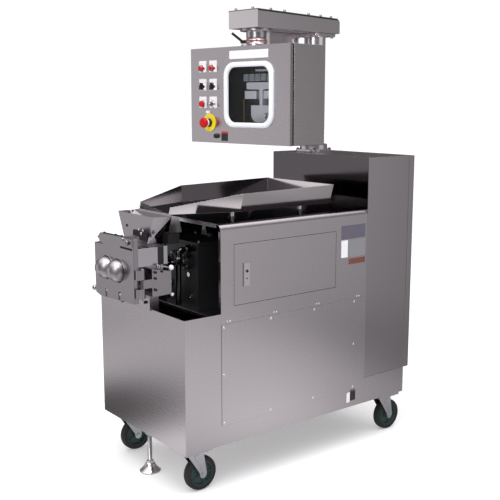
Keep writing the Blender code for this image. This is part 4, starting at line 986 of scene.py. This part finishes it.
def dress_feed():
    redo("hopper", HOPPER_STEEL, "machine", width=0.0005, angle=6)
    # the inside of the far wall gets the darker steel: a painted dark reflection
    back = IN_MACHINE.inverted()
    skin = painted(refined("feed_tray", 0.0005, angle=6),
                   lambda face: face.normal.y < -0.40 and (back @ face.calc_center_median()).y > 0)
    piece("feed_tray_skin", skin, [TRAY_STEEL, PAINTED_DARK_REFLECTION], "machine", IN_WORLD,
          ("feed_tray",))
    # round feet with flanges under the tray
    feet = []
    base, top = machine_box("drive_cover")[1].z + 0.0002, FOOT_TOP
    for x in FOOT_X:
        for y in FOOT_Y:
            feet.append(lathe([(0, base), (0.0150, base), (0.0150, base + 0.0015), (0.0095, base + 0.0035),
                               (0.0083, base + 0.0050),
                               (0.0083, top - 0.003), (0.0110, top), (0, top)], (x, y, 0), Z, 40))
    piece("tray_feet", feet, CHROME, "machine")
    front = machine_box("hopper")[0].x
    hooks = [lathe([(0, 0.0030), (0.0042, 0.0026), (0.0048, 0.0010), (0.0048, 0), (0, 0)], (front, 0.0577,
            0.919), -X, 24)]
    catch = [(0.009, 0.910), (-0.086, 0.9095), (-0.080, 0.8790), (-0.034, 0.8790), (-0.030, 0.8900),
             (0.011, 0.8900)]
    hooks.append(prism(catch, front - 0.0050, front - 0.0002, "yz", 0.0008))
    piece("hopper_catch", hooks, GASKET, "machine")
    studs = [pan_screw((front - 0.0048, y, z), -X, r) for y, z, r in
             ((-0.045, 0.902, 0.0050), (-0.030, 0.914, 0.0036), (-0.058, 0.913, 0.0044))]
    piece("hopper_studs", studs, CHROME, "machine")
    # deflector behind the hopper, with its holder
    wing = bmesh.new()
    corners = [(-0.4700, -0.1110, 0.9590), (-0.4405, -0.1090, 0.9580), (-0.4290, -0.1120, 0.9030),
               (-0.4870, -0.1140, 0.9050)]
    rear = [wing.verts.new((x, y + 0.0016, z)) for x, y, z in corners]
    face = [wing.verts.new(corner) for corner in corners]
    wing.faces.new(rear)
    wing.faces.new(face)
    for i in range(4):
        j = (i + 1) % 4
        wing.faces.new((rear[i], rear[j], face[j], face[i]))
    piece("deflector", wing, BRIGHT, "machine")
    piece("deflector_holder", block((-0.4860, -0.1120, 0.8660), (-0.4400, -0.0700, 0.9020), 0.0015), PANEL,
          "machine")
    pipe_low, pipe_high = machine_box("coolant_pipe")
    x, y = -0.430, -0.085
    route = elbow((x, y, pipe_low.z + 0.001), (x, y, 0.835), (pipe_high.x - 0.001, y, 0.835), 0.016)
    union = [hex_nut((x, y, 0.786), Z, 0.030, 0.020), hex_nut((x + 0.030, y, 0.835), X, 0.028, 0.022),
             lathe([(0.0100, 0), (0.0140, 0), (0.0140, 0.006), (0.0100, 0.006)], (x, y, 0.806), Z, 40,
                   closed=True)]
    union.append(tinted(sweep(route, 0.0105, 28), 1))
    piece("coolant_pipe_skin", union, [CHROME, PIPE_STEEL], "machine",
          replaces=("coolant_pipe",))
    drains = []
    for dx, dy, top in ((0.024, 0.020, 0.790), (-0.030, 0.060, 0.760)):
        drains.append(rod((x + dx, dy, 0.640), (x + dx, dy, top), 0.0050, 24))
        drains.append(hex_nut((x + dx, dy, top), Z, 0.014, 0.012))
    piece("tub_pipes", drains, CAST, "machine")


# ------------------------------------------------------------ swing arm
def dress_arm():
    base = machine_box("post_socket")[0].z
    radius = 0.0450
    plate = prism(rounded(0.062, 0.062, 0.030), base, base + 0.0115, "xy", 0.0012)
    boss = lathe([(radius, base + 0.001), (0.0585, base + 0.001), (0.0585, base + 0.028),
                  (0.0560, base + 0.0330), (radius + 0.001, base + 0.0338),
                  (radius, base + 0.0325)], (0, 0, 0), Z, 96, closed=True)
    piece("post_socket_skin", [plate, boss], BRIGHT, "machine", IN_ARM, ("post_socket",))
    corner = 0.0515
    heads = [cap_screw((sx * corner * 0.93, sy * corner * 0.93, base + 0.0112), Z, 0.0052) for sx in (-1, 1)
             for sy in (-1, 1)]
    piece("post_socket_bolts", heads, GASKET, "machine", IN_ARM)

    bottom = machine_box("arm_post")[0].z
    radius = 0.0445
    arm_bottom = machine_box("arm_beam")[0].z
    flange = arm_bottom - 0.0115
    tube = lathe([(0, bottom), (radius - 0.001, bottom), (radius, bottom + 0.001), (radius, flange - 0.006),
                  (radius + 0.0045, flange),
                  (0, flange)], (0, 0, 0), Z, 96)
    head = prism(rounded(0.0635, 0.0635, 0.012), flange, arm_bottom - 0.0004, "xy", 0.0010)
    piece("arm_post_skin", [tube, head], [POST_STEEL], "arm", IN_ARM, ("arm_post",))
    bolts = [hex_nut((sx * 0.050, sy * 0.050, flange), -Z, 0.013, 0.0060) for sx in (-1, 1) for sy in (-1, 1)]
    piece("arm_post_bolts", bolts, ZINC, "arm", IN_ARM)

    redo("arm_beam", ARM_STEEL, "arm", width=0.0010)
    redo("arm_lid", LID_STEEL, "arm", width=0.0008)
    beam_front, beam_back, half = -0.424, 0.052, 0.079
    lid_front, lid_back = 1.6950, 1.6870

    def lid_z(x):
        return lid_front + (lid_back - lid_front) * (x - beam_front) / (beam_back - beam_front)

    gasket = []
    for y in (-half - 0.0006, half - 0.0006):
        gasket.append(prism([(beam_front, lid_z(beam_front) - 0.0045), (beam_back, lid_z(beam_back) - 0.0045),
                             (beam_back, lid_z(beam_back) + 0.0003), (beam_front, lid_z(beam_front)
                                     + 0.0003)],
                            y, y + 0.0012, "xz", 0.0002))
    piece("arm_gasket", gasket, GASKET, "arm", IN_ARM)
    # cable duct hung under the beam between neck and post
    duct = [block((-0.228, 0.045, 1.5670), (-0.052, 0.070, arm_bottom - 0.0005), 0.0015)]
    piece("arm_duct", duct, BRIGHT, "arm", IN_ARM)
    screws = []
    for x in (-0.345, -0.268, -0.125, -0.050, 0.015):
        for y in (-half + 0.007, half - 0.007):
            screws.append(thumb_screw((x, y, lid_z(x) + 0.0028)))
    for y in (-0.046, 0.046):
        screws.append(thumb_screw((beam_front + 0.007, y, lid_z(beam_front) + 0.0028)))
    piece("arm_lid_screws", screws, ZINC, "arm", IN_ARM)
    dress_neck(arm_bottom)


def thumb_screw(at):
    """Short thumb screw with a waist over its washer."""
    profile = [(0, 0.0085), (0.0042, 0.0085), (0.0052, 0.0075), (0.0052, 0.0030), (0.0034, 0.0022),
               (0.0060, 0.0012),
               (0.0060, 0), (0, 0)]
    return lathe(profile, at, Z, 20)


def dress_neck(arm_bottom):
    """Swivel joint between arm and box: two flanges, a bellied housing with a red band, a lever."""
    box_top = machine_box("box_shell")[1].z
    joint = arm_bottom - 0.0343
    shape = [(0, joint + 0.0006), (0.0400, joint + 0.0006), (0.0400, arm_bottom - 0.0120),
             (0.0430, arm_bottom - 0.0090),
             (0.0630, arm_bottom - 0.0088), (0.0640, arm_bottom - 0.0078), (0.0640, arm_bottom - 0.0010),
             (0.0630, arm_bottom - 0.0003),
             (0, arm_bottom - 0.0003)]
    piece("neck_flange_skin", lathe(shape, (-0.350, 0, 0), Z, 96), MACHINED, "arm", IN_ARM,
          ("neck_flange",))
    low_ring = [(0, box_top + 0.0004), (0.0590, box_top + 0.0004), (0.0600, box_top + 0.0014),
                (0.0600, box_top + 0.0076),
                (0.0588, box_top + 0.0088), (0.0380, box_top + 0.0090)]
    top = joint - 0.0004
    belly = [(0.0380, box_top + 0.0092)]
    steps = 14
    for k in range(steps + 1):
        t = k / steps
        belly.append((0.0378 + 0.0050 * math.sin(math.pi * t), box_top + 0.0095 + (top - box_top - 0.0100)
                      * t))
    piece("neck_collar_skin", lathe(low_ring + belly[1:] + [(0, top)], (0, 0, 0), Z, 96), CHROME,
          "control_box",
          IN_BOX, ("neck_collar",))
    z = box_top + 0.0225
    t = (z - box_top - 0.0095) / (top - box_top - 0.0100)
    r = 0.0378 + 0.0050 * math.sin(math.pi * t)
    band = lathe([(r - 0.0010, -0.0022), (r + 0.0006, -0.0019), (r + 0.0006, 0.0019), (r - 0.0010, 0.0022)],
                 (0, 0, z), Z, 96, closed=True)
    piece("neck_bands", band, BAND, "control_box", IN_BOX)
    lever = IN_BOX.inverted() @ PIVOT["neck_lever_turn"]
    redo("neck_clamp_lever", BLACK, "neck_lever", width=0.0012)
    piece("neck_lever_screw", [cap_screw((lever.x, lever.y + 0.0108, lever.z), Y, 0.0035)], ZINC,
          "neck_lever",
          IN_BOX)


# ------------------------------------------------------------ control box
BOX_FACE = -0.090            # door's front face, forward of the neck
HINGE_SIDE, FREE_SIDE = -0.262, 0.287
WINDOW = (-0.047, 1.376)
COLUMNS = (0.154, 0.215)
ROWS = {"lamp": 1.482, "selector": 1.411, "button": 1.341}


def dress_control_box():
    redo("box_shell", BOX_STEEL, "control_box", width=0.0012)
    redo("box_door", SATIN, "box_door", width=0.0014, segments=3)
    back = BOX_FACE + 0.014
    low_z, high_z = machine_box("box_shell")[0].z, machine_box("box_shell")[1].z
    # rubber between door and box
    outer = rounded((FREE_SIDE - HINGE_SIDE) / 2 - 0.005, (high_z - low_z) / 2 - 0.005, 0.004,
                    ((FREE_SIDE + HINGE_SIDE) / 2, (high_z + low_z) / 2), 3)
    inner = rounded((FREE_SIDE - HINGE_SIDE) / 2 - 0.014, (high_z - low_z) / 2 - 0.014, 0.004,
                    ((FREE_SIDE + HINGE_SIDE) / 2, (high_z + low_z) / 2), 3)
    seal = frame_ring(outer, inner, [(0, 0.02), (0, 0.9), (0.3, 1.0), (0.7, 1.0), (1, 0.9), (1, 0.02)], back
                      + 0.0003, back + 0.0078)
    piece("box_door_seal", seal, GASKET, "control_box", IN_BOX)
    keep("instrument_panel", PANEL)
    dress_window()
    dress_instruments()
    dress_controls()
    rivets = [pan_screw((0.0990, y, z), X, 0.0035) for y in (HINGE_SIDE + 0.020, FREE_SIDE - 0.020)
              for z in (low_z + 0.02, high_z - 0.02)]
    piece("box_back_screws", rivets, ZINC, "control_box", IN_BOX)


def dress_window():
    front = BOX_FACE
    outer = rounded(0.1330, 0.1250, 0.050, WINDOW, 14)
    inner = rounded(0.1120, 0.1060, 0.037, WINDOW, 14)
    profile = [(0, 0.03), (0.0, 0.40), (0.06, 0.70), (0.18, 0.92), (0.34, 1.0), (0.62, 1.0), (0.80, 0.92),
               (0.94, 0.70), (1.0, 0.40),
               (1.0, 0.03)]
    seal = frame_ring(outer, inner, profile, front - 0.0110, front)
    piece("window_seal_skin", seal, SEAL, "box_door", IN_BOX, ("window_seal",))
    keep("window_pane", GLASS)
    plate = prism(rounded(0.1045, 0.0155, 0.002, (-0.0455, 1.529)), front - 0.0010, front + 0.0002, "yz",
                  0.0003)
    piece("name_plate", plate, PAPER, "box_door", IN_BOX)
    small = [block((front - 0.0006, 0.176, 1.3035), (front + 0.0002, 0.198, 1.3145), 0.0002),
             tinted(block((front - 0.0006, 0.070, 1.196), (front + 0.0002, 0.107, 1.226), 0.0002), 1),
             tinted(block((front - 0.0006, 0.070, 1.226), (front + 0.0002, 0.107, 1.234), 0.0002), 2)]
    piece("door_plates", small, [PAPER, BLACK, BAND], "box_door", IN_BOX)
    dots = [pan_screw((front, 0.123, z), -X, 0.0024) for z in (1.403, 1.335)]
    piece("door_dots", dots, GASKET, "box_door", IN_BOX)


def dress_instruments():
    """Meters and mouldings that show through the window."""
    face = -0.0185
    shapes = []
    for k in range(5):
        y = 0.0095 - 0.0320 * k
        shapes.append(tinted(block((face - 0.030, y - 0.0135, 1.4290), (face, y + 0.0135, 1.4560), 0.0015),
                             1))
        shapes.append(tinted(block((face - 0.0310, y - 0.0105, 1.4330), (face - 0.0295, y + 0.0105, 1.4520),
                                   0.0004), 2))
    arrow = [(0.003, 1.4205), (-0.004, 1.4240), (-0.125, 1.4240), (-0.125, 1.3980), (-0.0860, 1.3960),
             (-0.0840, 1.3365),
             (-0.0690, 1.3365), (-0.0670, 1.3960), (0.001, 1.3980)]
    shapes.append(prism(arrow, face - 0.034, face, "yz", 0.0010))
    for y0, y1 in ((-0.0510, 0.0130), (-0.1230, -0.0895)):
        shapes.append(block((face - 0.033, y0, 1.3610), (face, y1, 1.3915), 0.0012))
    bowl = [(-0.0230, 1.3360), (-0.1260, 1.3360), (-0.1260, 1.2700), (-0.0580, 1.2700)]
    bowl += [(-0.0580 + 0.035 * math.sin(a), 1.3040 - 0.034 * math.cos(a)) for a in (math.pi / 2 * k / 6
            for k in range(1, 7))]
    shapes.append(prism(bowl, face - 0.034, face, "yz", 0.0010))
    dial = (face - 0.0340, -0.1075, 1.2970)
    shapes.append(tinted(lathe([(0.0062, 0), (0.0125, 0), (0.0125, 0.0020), (0.0110, 0.0030),
                                (0.0062, 0.0030)], dial, -X, 40, closed=True), 2))
    shapes.append(tinted(lathe([(0, 0.0100), (0.0040, 0.0100), (0.0048, 0.0085), (0.0055, 0), (0, 0)], dial,
                               -X, 32), 3))
    shapes.append(block((face - 0.0300, -0.1280, 1.4660), (face, -0.0420, 1.4735), 0.0010))
    shapes.append(tinted(rod((face - 0.020, 0.0290, 1.2720), (face - 0.020, 0.0310, 1.3600), 0.0016, 12), 4))
    piece("instruments", shapes, [MOULDING, METER_FACE, METER, BRIGHT, WIRE], "control_box",
          IN_BOX)


def dress_controls():
    front = BOX_FACE
    plates = []
    bored = (COLUMNS[1], 1.344)
    for z in (1.485, 1.414, 1.344):
        for y in COLUMNS:
            if (y, z) == bored:
                continue
            plates.append(prism(rounded(0.0215, 0.0225, 0.0030, (y, z + 0.004), 4), front - 0.0009, front
                                + 0.0002, "yz", 0.0003))
    # the plate behind the push button is bored, so that the button can sink into it
    outer = rounded(0.0215, 0.0225, 0.0030, (bored[0], bored[1] + 0.004), 8)
    inner = rounded(0.0127, 0.0127, 0.0126, (bored[0], ROWS["button"]), 8)
    plates.append(frame_ring(outer, inner, [(0, 0.02), (0, 1.0), (1, 1.0), (1, 0.02)], front - 0.0009, front
                             + 0.0002))
    piece("legend_plates", plates, PAPER, "box_door", IN_BOX)
    for name, joint_y in (("lamp_near", COLUMNS[0]), ("lamp_far", COLUMNS[1])):
        at = (front, joint_y, ROWS["lamp"])
        bezel = lathe([(0, 0.0005), (0.0148, 0.0010), (0.0152, 0.0030), (0.0135, 0.0050), (0.0125, 0.0050),
                       (0, 0.0050)], at, -X, 48)
        dome = [(0.0124, 0.0050), (0.0124, 0.0110)]
        dome += [(0.0124 * math.cos(a), 0.0110 + 0.0100 * math.sin(a)) for a in (math.pi / 2 * k / 8
                for k in range(1, 8))]
        lens = lathe([(0, 0.0048)] + dome + [(0, 0.0210)], at, -X, 48)
        piece(name + "_skin", [bezel, tinted(lens, 1)], [CHROME, LENS], "box_door", IN_BOX,
              (name,))
    for name, y in (("selector_near", COLUMNS[0]), ("selector_far", COLUMNS[1])):
        at = (front, y, ROWS["selector"])
        ring = lathe([(0, 0.0010), (0.0148, 0.0010), (0.0152, 0.0030), (0.0138, 0.0052), (0, 0.0052)], at, -X,
                     48)
        knob = lathe([(0, 0.0050), (0.0122, 0.0050), (0.0122, 0.0080), (0.0108, 0.0095), (0, 0.0095)], at, -X,
                     48)
        grip = block((front - 0.0200, y - 0.0036, ROWS["selector"] - 0.0142), (front - 0.0080, y + 0.0036,
                ROWS["selector"] + 0.0142),
                     0.0018, 3)
        mark = block((front - 0.0203, y - 0.0007, ROWS["selector"] + 0.0040), (front - 0.0196, y + 0.0007,
                ROWS["selector"] + 0.0130), 0.0001)
        piece(name + "_skin", [ring, tinted(knob, 1), tinted(grip, 1), tinted(mark, 2)], [CHROME, BLACK,
                PAPER], name,
              IN_BOX, (name,))
    at = (front, COLUMNS[1], ROWS["button"])
    piece("push_button_ring", lathe([(0.0128, 0.0006), (0.0148, 0.0006), (0.0152, 0.0030), (0.0142, 0.0062),
                                     (0.0128, 0.0062)], at, -X, 48,
                                    closed=True), CHROME, "box_door", IN_BOX)
    cap = lathe([(0, 0.0010), (0.0108, 0.0010), (0.0108, 0.0060), (0.0122, 0.0070), (0.0124, 0.0125),
                 (0.0112, 0.0138), (0, 0.0132)], at, -X, 48)
    piece("push_button_skin", cap, RED, "push_button", IN_BOX, ("push_button",))
    at = (front, COLUMNS[0], ROWS["button"])
    barrel = lathe([(0, 0.0010), (0.0148, 0.0010), (0.0152, 0.0030), (0.0138, 0.0060), (0.0105, 0.0064),
                    (0.0100, 0.0088), (0, 0.0088)],
                   at, -X, 48)
    key = [prism(rounded(0.0010, 0.0078, 0.0009, (COLUMNS[0], ROWS["button"]), 3), front - 0.0215,
                 front - 0.0080, "yz", 0.0003)]
    head = lathe([(0.0030, -0.0010), (0.0085, -0.0010), (0.0092, 0), (0.0085, 0.0010), (0.0030, 0.0010)],
                 (front - 0.0140, COLUMNS[0], ROWS["button"]), Y, 40, closed=True)
    piece("key_switch_skin", [barrel, *key, head], [CHROME], "key_switch", IN_BOX,
          ("key_switch",))
    dress_estop(front)
    lock_at = IN_BOX.inverted() @ PIVOT["door_lock_turn"]
    body = lathe([(0, 0.0120), (0.0022, 0.0116), (0.0026, 0.0122), (0.0078, 0.0116), (0.0095, 0.0040),
                  (0.0100, 0.0004), (0, 0.0004)],
                 (front, lock_at.y, lock_at.z), -X, 40)
    wing = block((front - 0.0150, lock_at.y - 0.0018, lock_at.z - 0.0085), (front - 0.0100, lock_at.y
            + 0.0018, lock_at.z + 0.0085), 0.0010, 3)
    cam = block((front + 0.0102, lock_at.y - 0.0048, lock_at.z - 0.0198), (front + 0.0126, lock_at.y + 0.0048,
            lock_at.z + 0.0038), 0.0006)
    stem = rod((front + 0.0004, lock_at.y, lock_at.z), (front + 0.0138, lock_at.y, lock_at.z), 0.0072)
    piece("door_lock_skin", [body, wing, cam, stem], [CAST], "door_lock", IN_BOX,
          ("door_lock",))


def dress_estop(front):
    """Yellow plate and a red mushroom with a white ring on its stem."""
    at = IN_BOX.inverted() @ PIVOT["estop_press"]
    centre = (front, at.y, at.z)
    disc = lathe([(0.0116, 0.0004), (0.0355, 0.0004), (0.0360, 0.0010), (0.0360, 0.0024), (0.0354, 0.0030),
                  (0.0116, 0.0030)], centre,
                 -X, 80, closed=True)
    collar = lathe([(0.0118, 0.0029), (0.0170, 0.0029), (0.0172, 0.0055), (0.0155, 0.0085), (0.0118, 0.0085)],
                   centre, -X, 48, closed=True)
    piece("estop_plate_skin", [disc, tinted(collar, 1)], [YELLOW, BLACK], "box_door",
          IN_BOX, ("estop_plate",))
    head = [(0, 0.0240), (0.0108, 0.0240), (0.0180, 0.0262), (0.0200, 0.0290), (0.0206, 0.0330),
            (0.0198, 0.0375), (0.0170, 0.0415),
            (0.0110, 0.0436), (0, 0.0440)]
    shapes = [lathe(head, centre, -X, 64), rod((front - 0.0250, at.y, at.z), (front - 0.0006, at.y, at.z),
                                               0.0078, 40)]
    shapes.append(tinted(lathe([(0.0110, 0.0150), (0.0150, 0.0160), (0.0150, 0.0225), (0.0110, 0.0235)],
                               centre, -X, 48, closed=True), 1))
    piece("estop_button_skin", shapes, [RED, WHITE], "estop_button", IN_BOX, ("estop_button",))


# ------------------------------------------------------------ studio
def disc(name, centre, inner, outer, material, sides=96):
    """Flat ring or disc on the floor."""
    shape = bmesh.new()
    rims = []
    for radius in (inner, outer):
        rims.append([shape.verts.new((centre[0] + radius * math.cos(2 * math.pi * i / sides),
                                      centre[1] + radius * math.sin(2 * math.pi * i / sides), 0))
                     for i in range(sides)])
    for i in range(sides):
        j = (i + 1) % sides
        shape.faces.new((rims[0][i], rims[1][i], rims[1][j], rims[0][j]))
    mesh = bpy.data.meshes.new(name)
    shape.to_mesh(mesh)
    shape.free()
    mesh.materials.append(material)
    made = bpy.data.objects.new(name, mesh)
    bpy.context.scene.collection.objects.link(made)
    return made


def soft_spot(tree, direction, towards, width, strength, base):
    """Add a soft bright patch of sky round one direction to a running brightness value."""
    dot = node(tree, "ShaderNodeVectorMath", operation="DOT_PRODUCT")
    link(tree, direction, dot.inputs[0])
    dot.inputs[1].default_value = Vector(towards).normalized()
    ramp = node(tree, "ShaderNodeMapRange", interpolation_type="SMOOTHSTEP")
    inner, outer = width
    ramp.inputs["From Min"].default_value = math.cos(math.radians(outer))
    ramp.inputs["From Max"].default_value = math.cos(math.radians(inner))
    ramp.inputs["To Max"].default_value = strength
    link(tree, dot.outputs["Value"], ramp.inputs["Value"])
    total = node(tree, "ShaderNodeMath", operation="ADD")
    link(tree, ramp.outputs["Result"], total.inputs[0])
    link(tree, base, total.inputs[1])
    return total.outputs[0]


def heading(azimuth, elevation):
    a, e = math.radians(azimuth), math.radians(elevation)
    return (math.cos(a) * math.cos(e), math.sin(a) * math.cos(e), math.sin(e))


def build_floor():
    """White paper for the eye, and an unevenly lit floor that only reflections see."""
    paper = disc("floor_paper", (0, 0), 0.0001, 40.0, FLOOR)
    paper.visible_glossy = False
    lit = bpy.data.materials.new("lit_floor")
    lit.use_nodes = True
    tree = lit.node_tree
    tree.nodes.remove(tree.nodes["Principled BSDF"])
    place = node(tree, "ShaderNodeTexCoord").outputs["Object"]
    glow = None
    for centre, inner, outer, strength in FLOOR_POOLS:
        gap = node(tree, "ShaderNodeVectorMath", operation="DISTANCE")
        link(tree, place, gap.inputs[0])
        gap.inputs[1].default_value = (*centre, 0)
        ramp = node(tree, "ShaderNodeMapRange", interpolation_type="SMOOTHSTEP")
        ramp.inputs["From Min"].default_value = outer
        ramp.inputs["From Max"].default_value = inner
        ramp.inputs["To Max"].default_value = strength
        link(tree, gap.outputs["Value"], ramp.inputs["Value"])
        total = node(tree, "ShaderNodeMath", operation="ADD")
        link(tree, ramp.outputs["Result"], total.inputs[0])
        if glow is None:
            total.inputs[1].default_value = FLOOR_LEVEL
        else:
            link(tree, glow, total.inputs[1])
        glow = total.outputs[0]
    light = node(tree, "ShaderNodeEmission")
    light.inputs["Color"].default_value = (1.0, 0.985, 0.99, 1)
    link(tree, glow, light.inputs["Strength"])
    link(tree, light.outputs[0], tree.nodes["Material Output"].inputs["Surface"])
    mirrored = disc("floor_lit", (0, 0), 0.0001, 2.8, lit)
    mirrored.visible_camera = False
    mirrored.visible_diffuse = False
    mirrored.visible_transmission = False
    mirrored.visible_shadow = False


FLOOR_LEVEL = 0.27
#              centre         full   gone  strength
FLOOR_POOLS = (((0.0, -1.7), 0.80, 1.50, 0.60),
               ((0.25, -0.65), 0.15, 0.55, 0.20),
               ((-1.5, 0.6), 0.80, 1.90, 0.45),
               ((-0.80, 0.05), 0.05, 0.30, 0.45),
               ((-0.80, 0.65), 0.15, 0.50, -0.62),
               ((0.95, -0.65), 0.10, 0.40, 0.15))
#             azimuth, elevation, full and gone angles, strength
SKY_SPOTS = ((-64, -4, (10, 30), 0.45), (132, -4, (10, 30), 0.55), (-150, 14, (8, 30), 0.40),
             (52, 9, (10, 26), -0.15))
SKY_LOW, SKY_HIGH = 0.20, 1.60


def build_sky():
    world = bpy.data.worlds.new("studio")
    bpy.context.scene.world = world
    world.use_nodes = True
    tree = world.node_tree
    background = tree.nodes["Background"]
    direction = node(tree, "ShaderNodeTexCoord").outputs["Generated"]
    split = node(tree, "ShaderNodeSeparateXYZ")
    link(tree, direction, split.inputs[0])
    rise = node(tree, "ShaderNodeMapRange", interpolation_type="SMOOTHSTEP")
    rise.inputs["From Min"].default_value = math.sin(math.radians(24))
    rise.inputs["From Max"].default_value = math.sin(math.radians(62))
    rise.inputs["To Min"].default_value = SKY_LOW
    rise.inputs["To Max"].default_value = SKY_HIGH
    link(tree, split.outputs[2], rise.inputs["Value"])
    glow = rise.outputs["Result"]
    for azimuth, elevation, width, strength in SKY_SPOTS:
        glow = soft_spot(tree, direction, heading(azimuth, elevation), width, strength, glow)
    sky = node(tree, "ShaderNodeEmission")
    sky.inputs["Color"].default_value = (1.0, 0.985, 0.99, 1)
    link(tree, glow, sky.inputs["Strength"])
    paper = node(tree, "ShaderNodeEmission")
    paper.inputs["Strength"].default_value = 1.02
    seen = node(tree, "ShaderNodeLightPath")
    mix = node(tree, "ShaderNodeMixShader")
    link(tree, seen.outputs["Is Camera Ray"], mix.inputs[0])
    link(tree, sky.outputs[0], mix.inputs[1])
    link(tree, paper.outputs[0], mix.inputs[2])
    output = tree.nodes["World Output"]
    link(tree, mix.outputs[0], output.inputs["Surface"])
    tree.nodes.remove(background)


def softbox(name, at, towards, size, power):
    lamp = bpy.data.lights.new(name, "AREA")
    lamp.shape = "RECTANGLE"
    lamp.size, lamp.size_y = size
    lamp.energy = power
    made = bpy.data.objects.new(name, lamp)
    made.location = at
    made.rotation_euler = (Vector(towards) - Vector(at)).to_track_quat("-Z", "Y").to_euler()
    made.visible_camera = False
    bpy.context.scene.collection.objects.link(made)
    return made


def build_lights():
    softbox("top_softbox", (-0.6, -0.9, 3.2), (0.0, 0.0, 0.6), (2.4, 1.8), 45)
    softbox("key_softbox", (-2.6, -1.6, 2.3), (0.0, 0.0, 0.8), (1.2, 1.2), 12)


CAMERA_AT, CAMERA_HEADING, CAMERA_DIP = (-1.990, -2.613, 1.3486), 51.94, 9.896
CAMERA_LENS, CAMERA_SENSOR = 61.04, 36.0


def build_camera():
    camera = bpy.data.cameras.new("camera")
    camera.lens = CAMERA_LENS
    camera.sensor_width = CAMERA_SENSOR
    made = bpy.data.objects.new("camera", camera)
    made.location = CAMERA_AT
    turn, dip = math.radians(CAMERA_HEADING), math.radians(CAMERA_DIP)
    made.rotation_euler = (math.pi / 2 - dip, 0, turn - math.pi / 2)
    bpy.context.scene.collection.objects.link(made)
    bpy.context.scene.camera = made


build_camera()
build_floor()
build_sky()
build_lights()
dress_base()
dress_cover()
dress_access_door()
dress_rear_cabinet()
for corner_name in ("front_near", "front_far", "rear_near", "rear_far"):
    dress_castor(corner_name)
dress_levelling_foot()
dress_drive()
dress_head()
dress_die_plate()
dress_clamp_lever()
dress_feed()
dress_arm()
dress_control_box()
bpy.context.scene.view_settings.view_transform = "Standard"
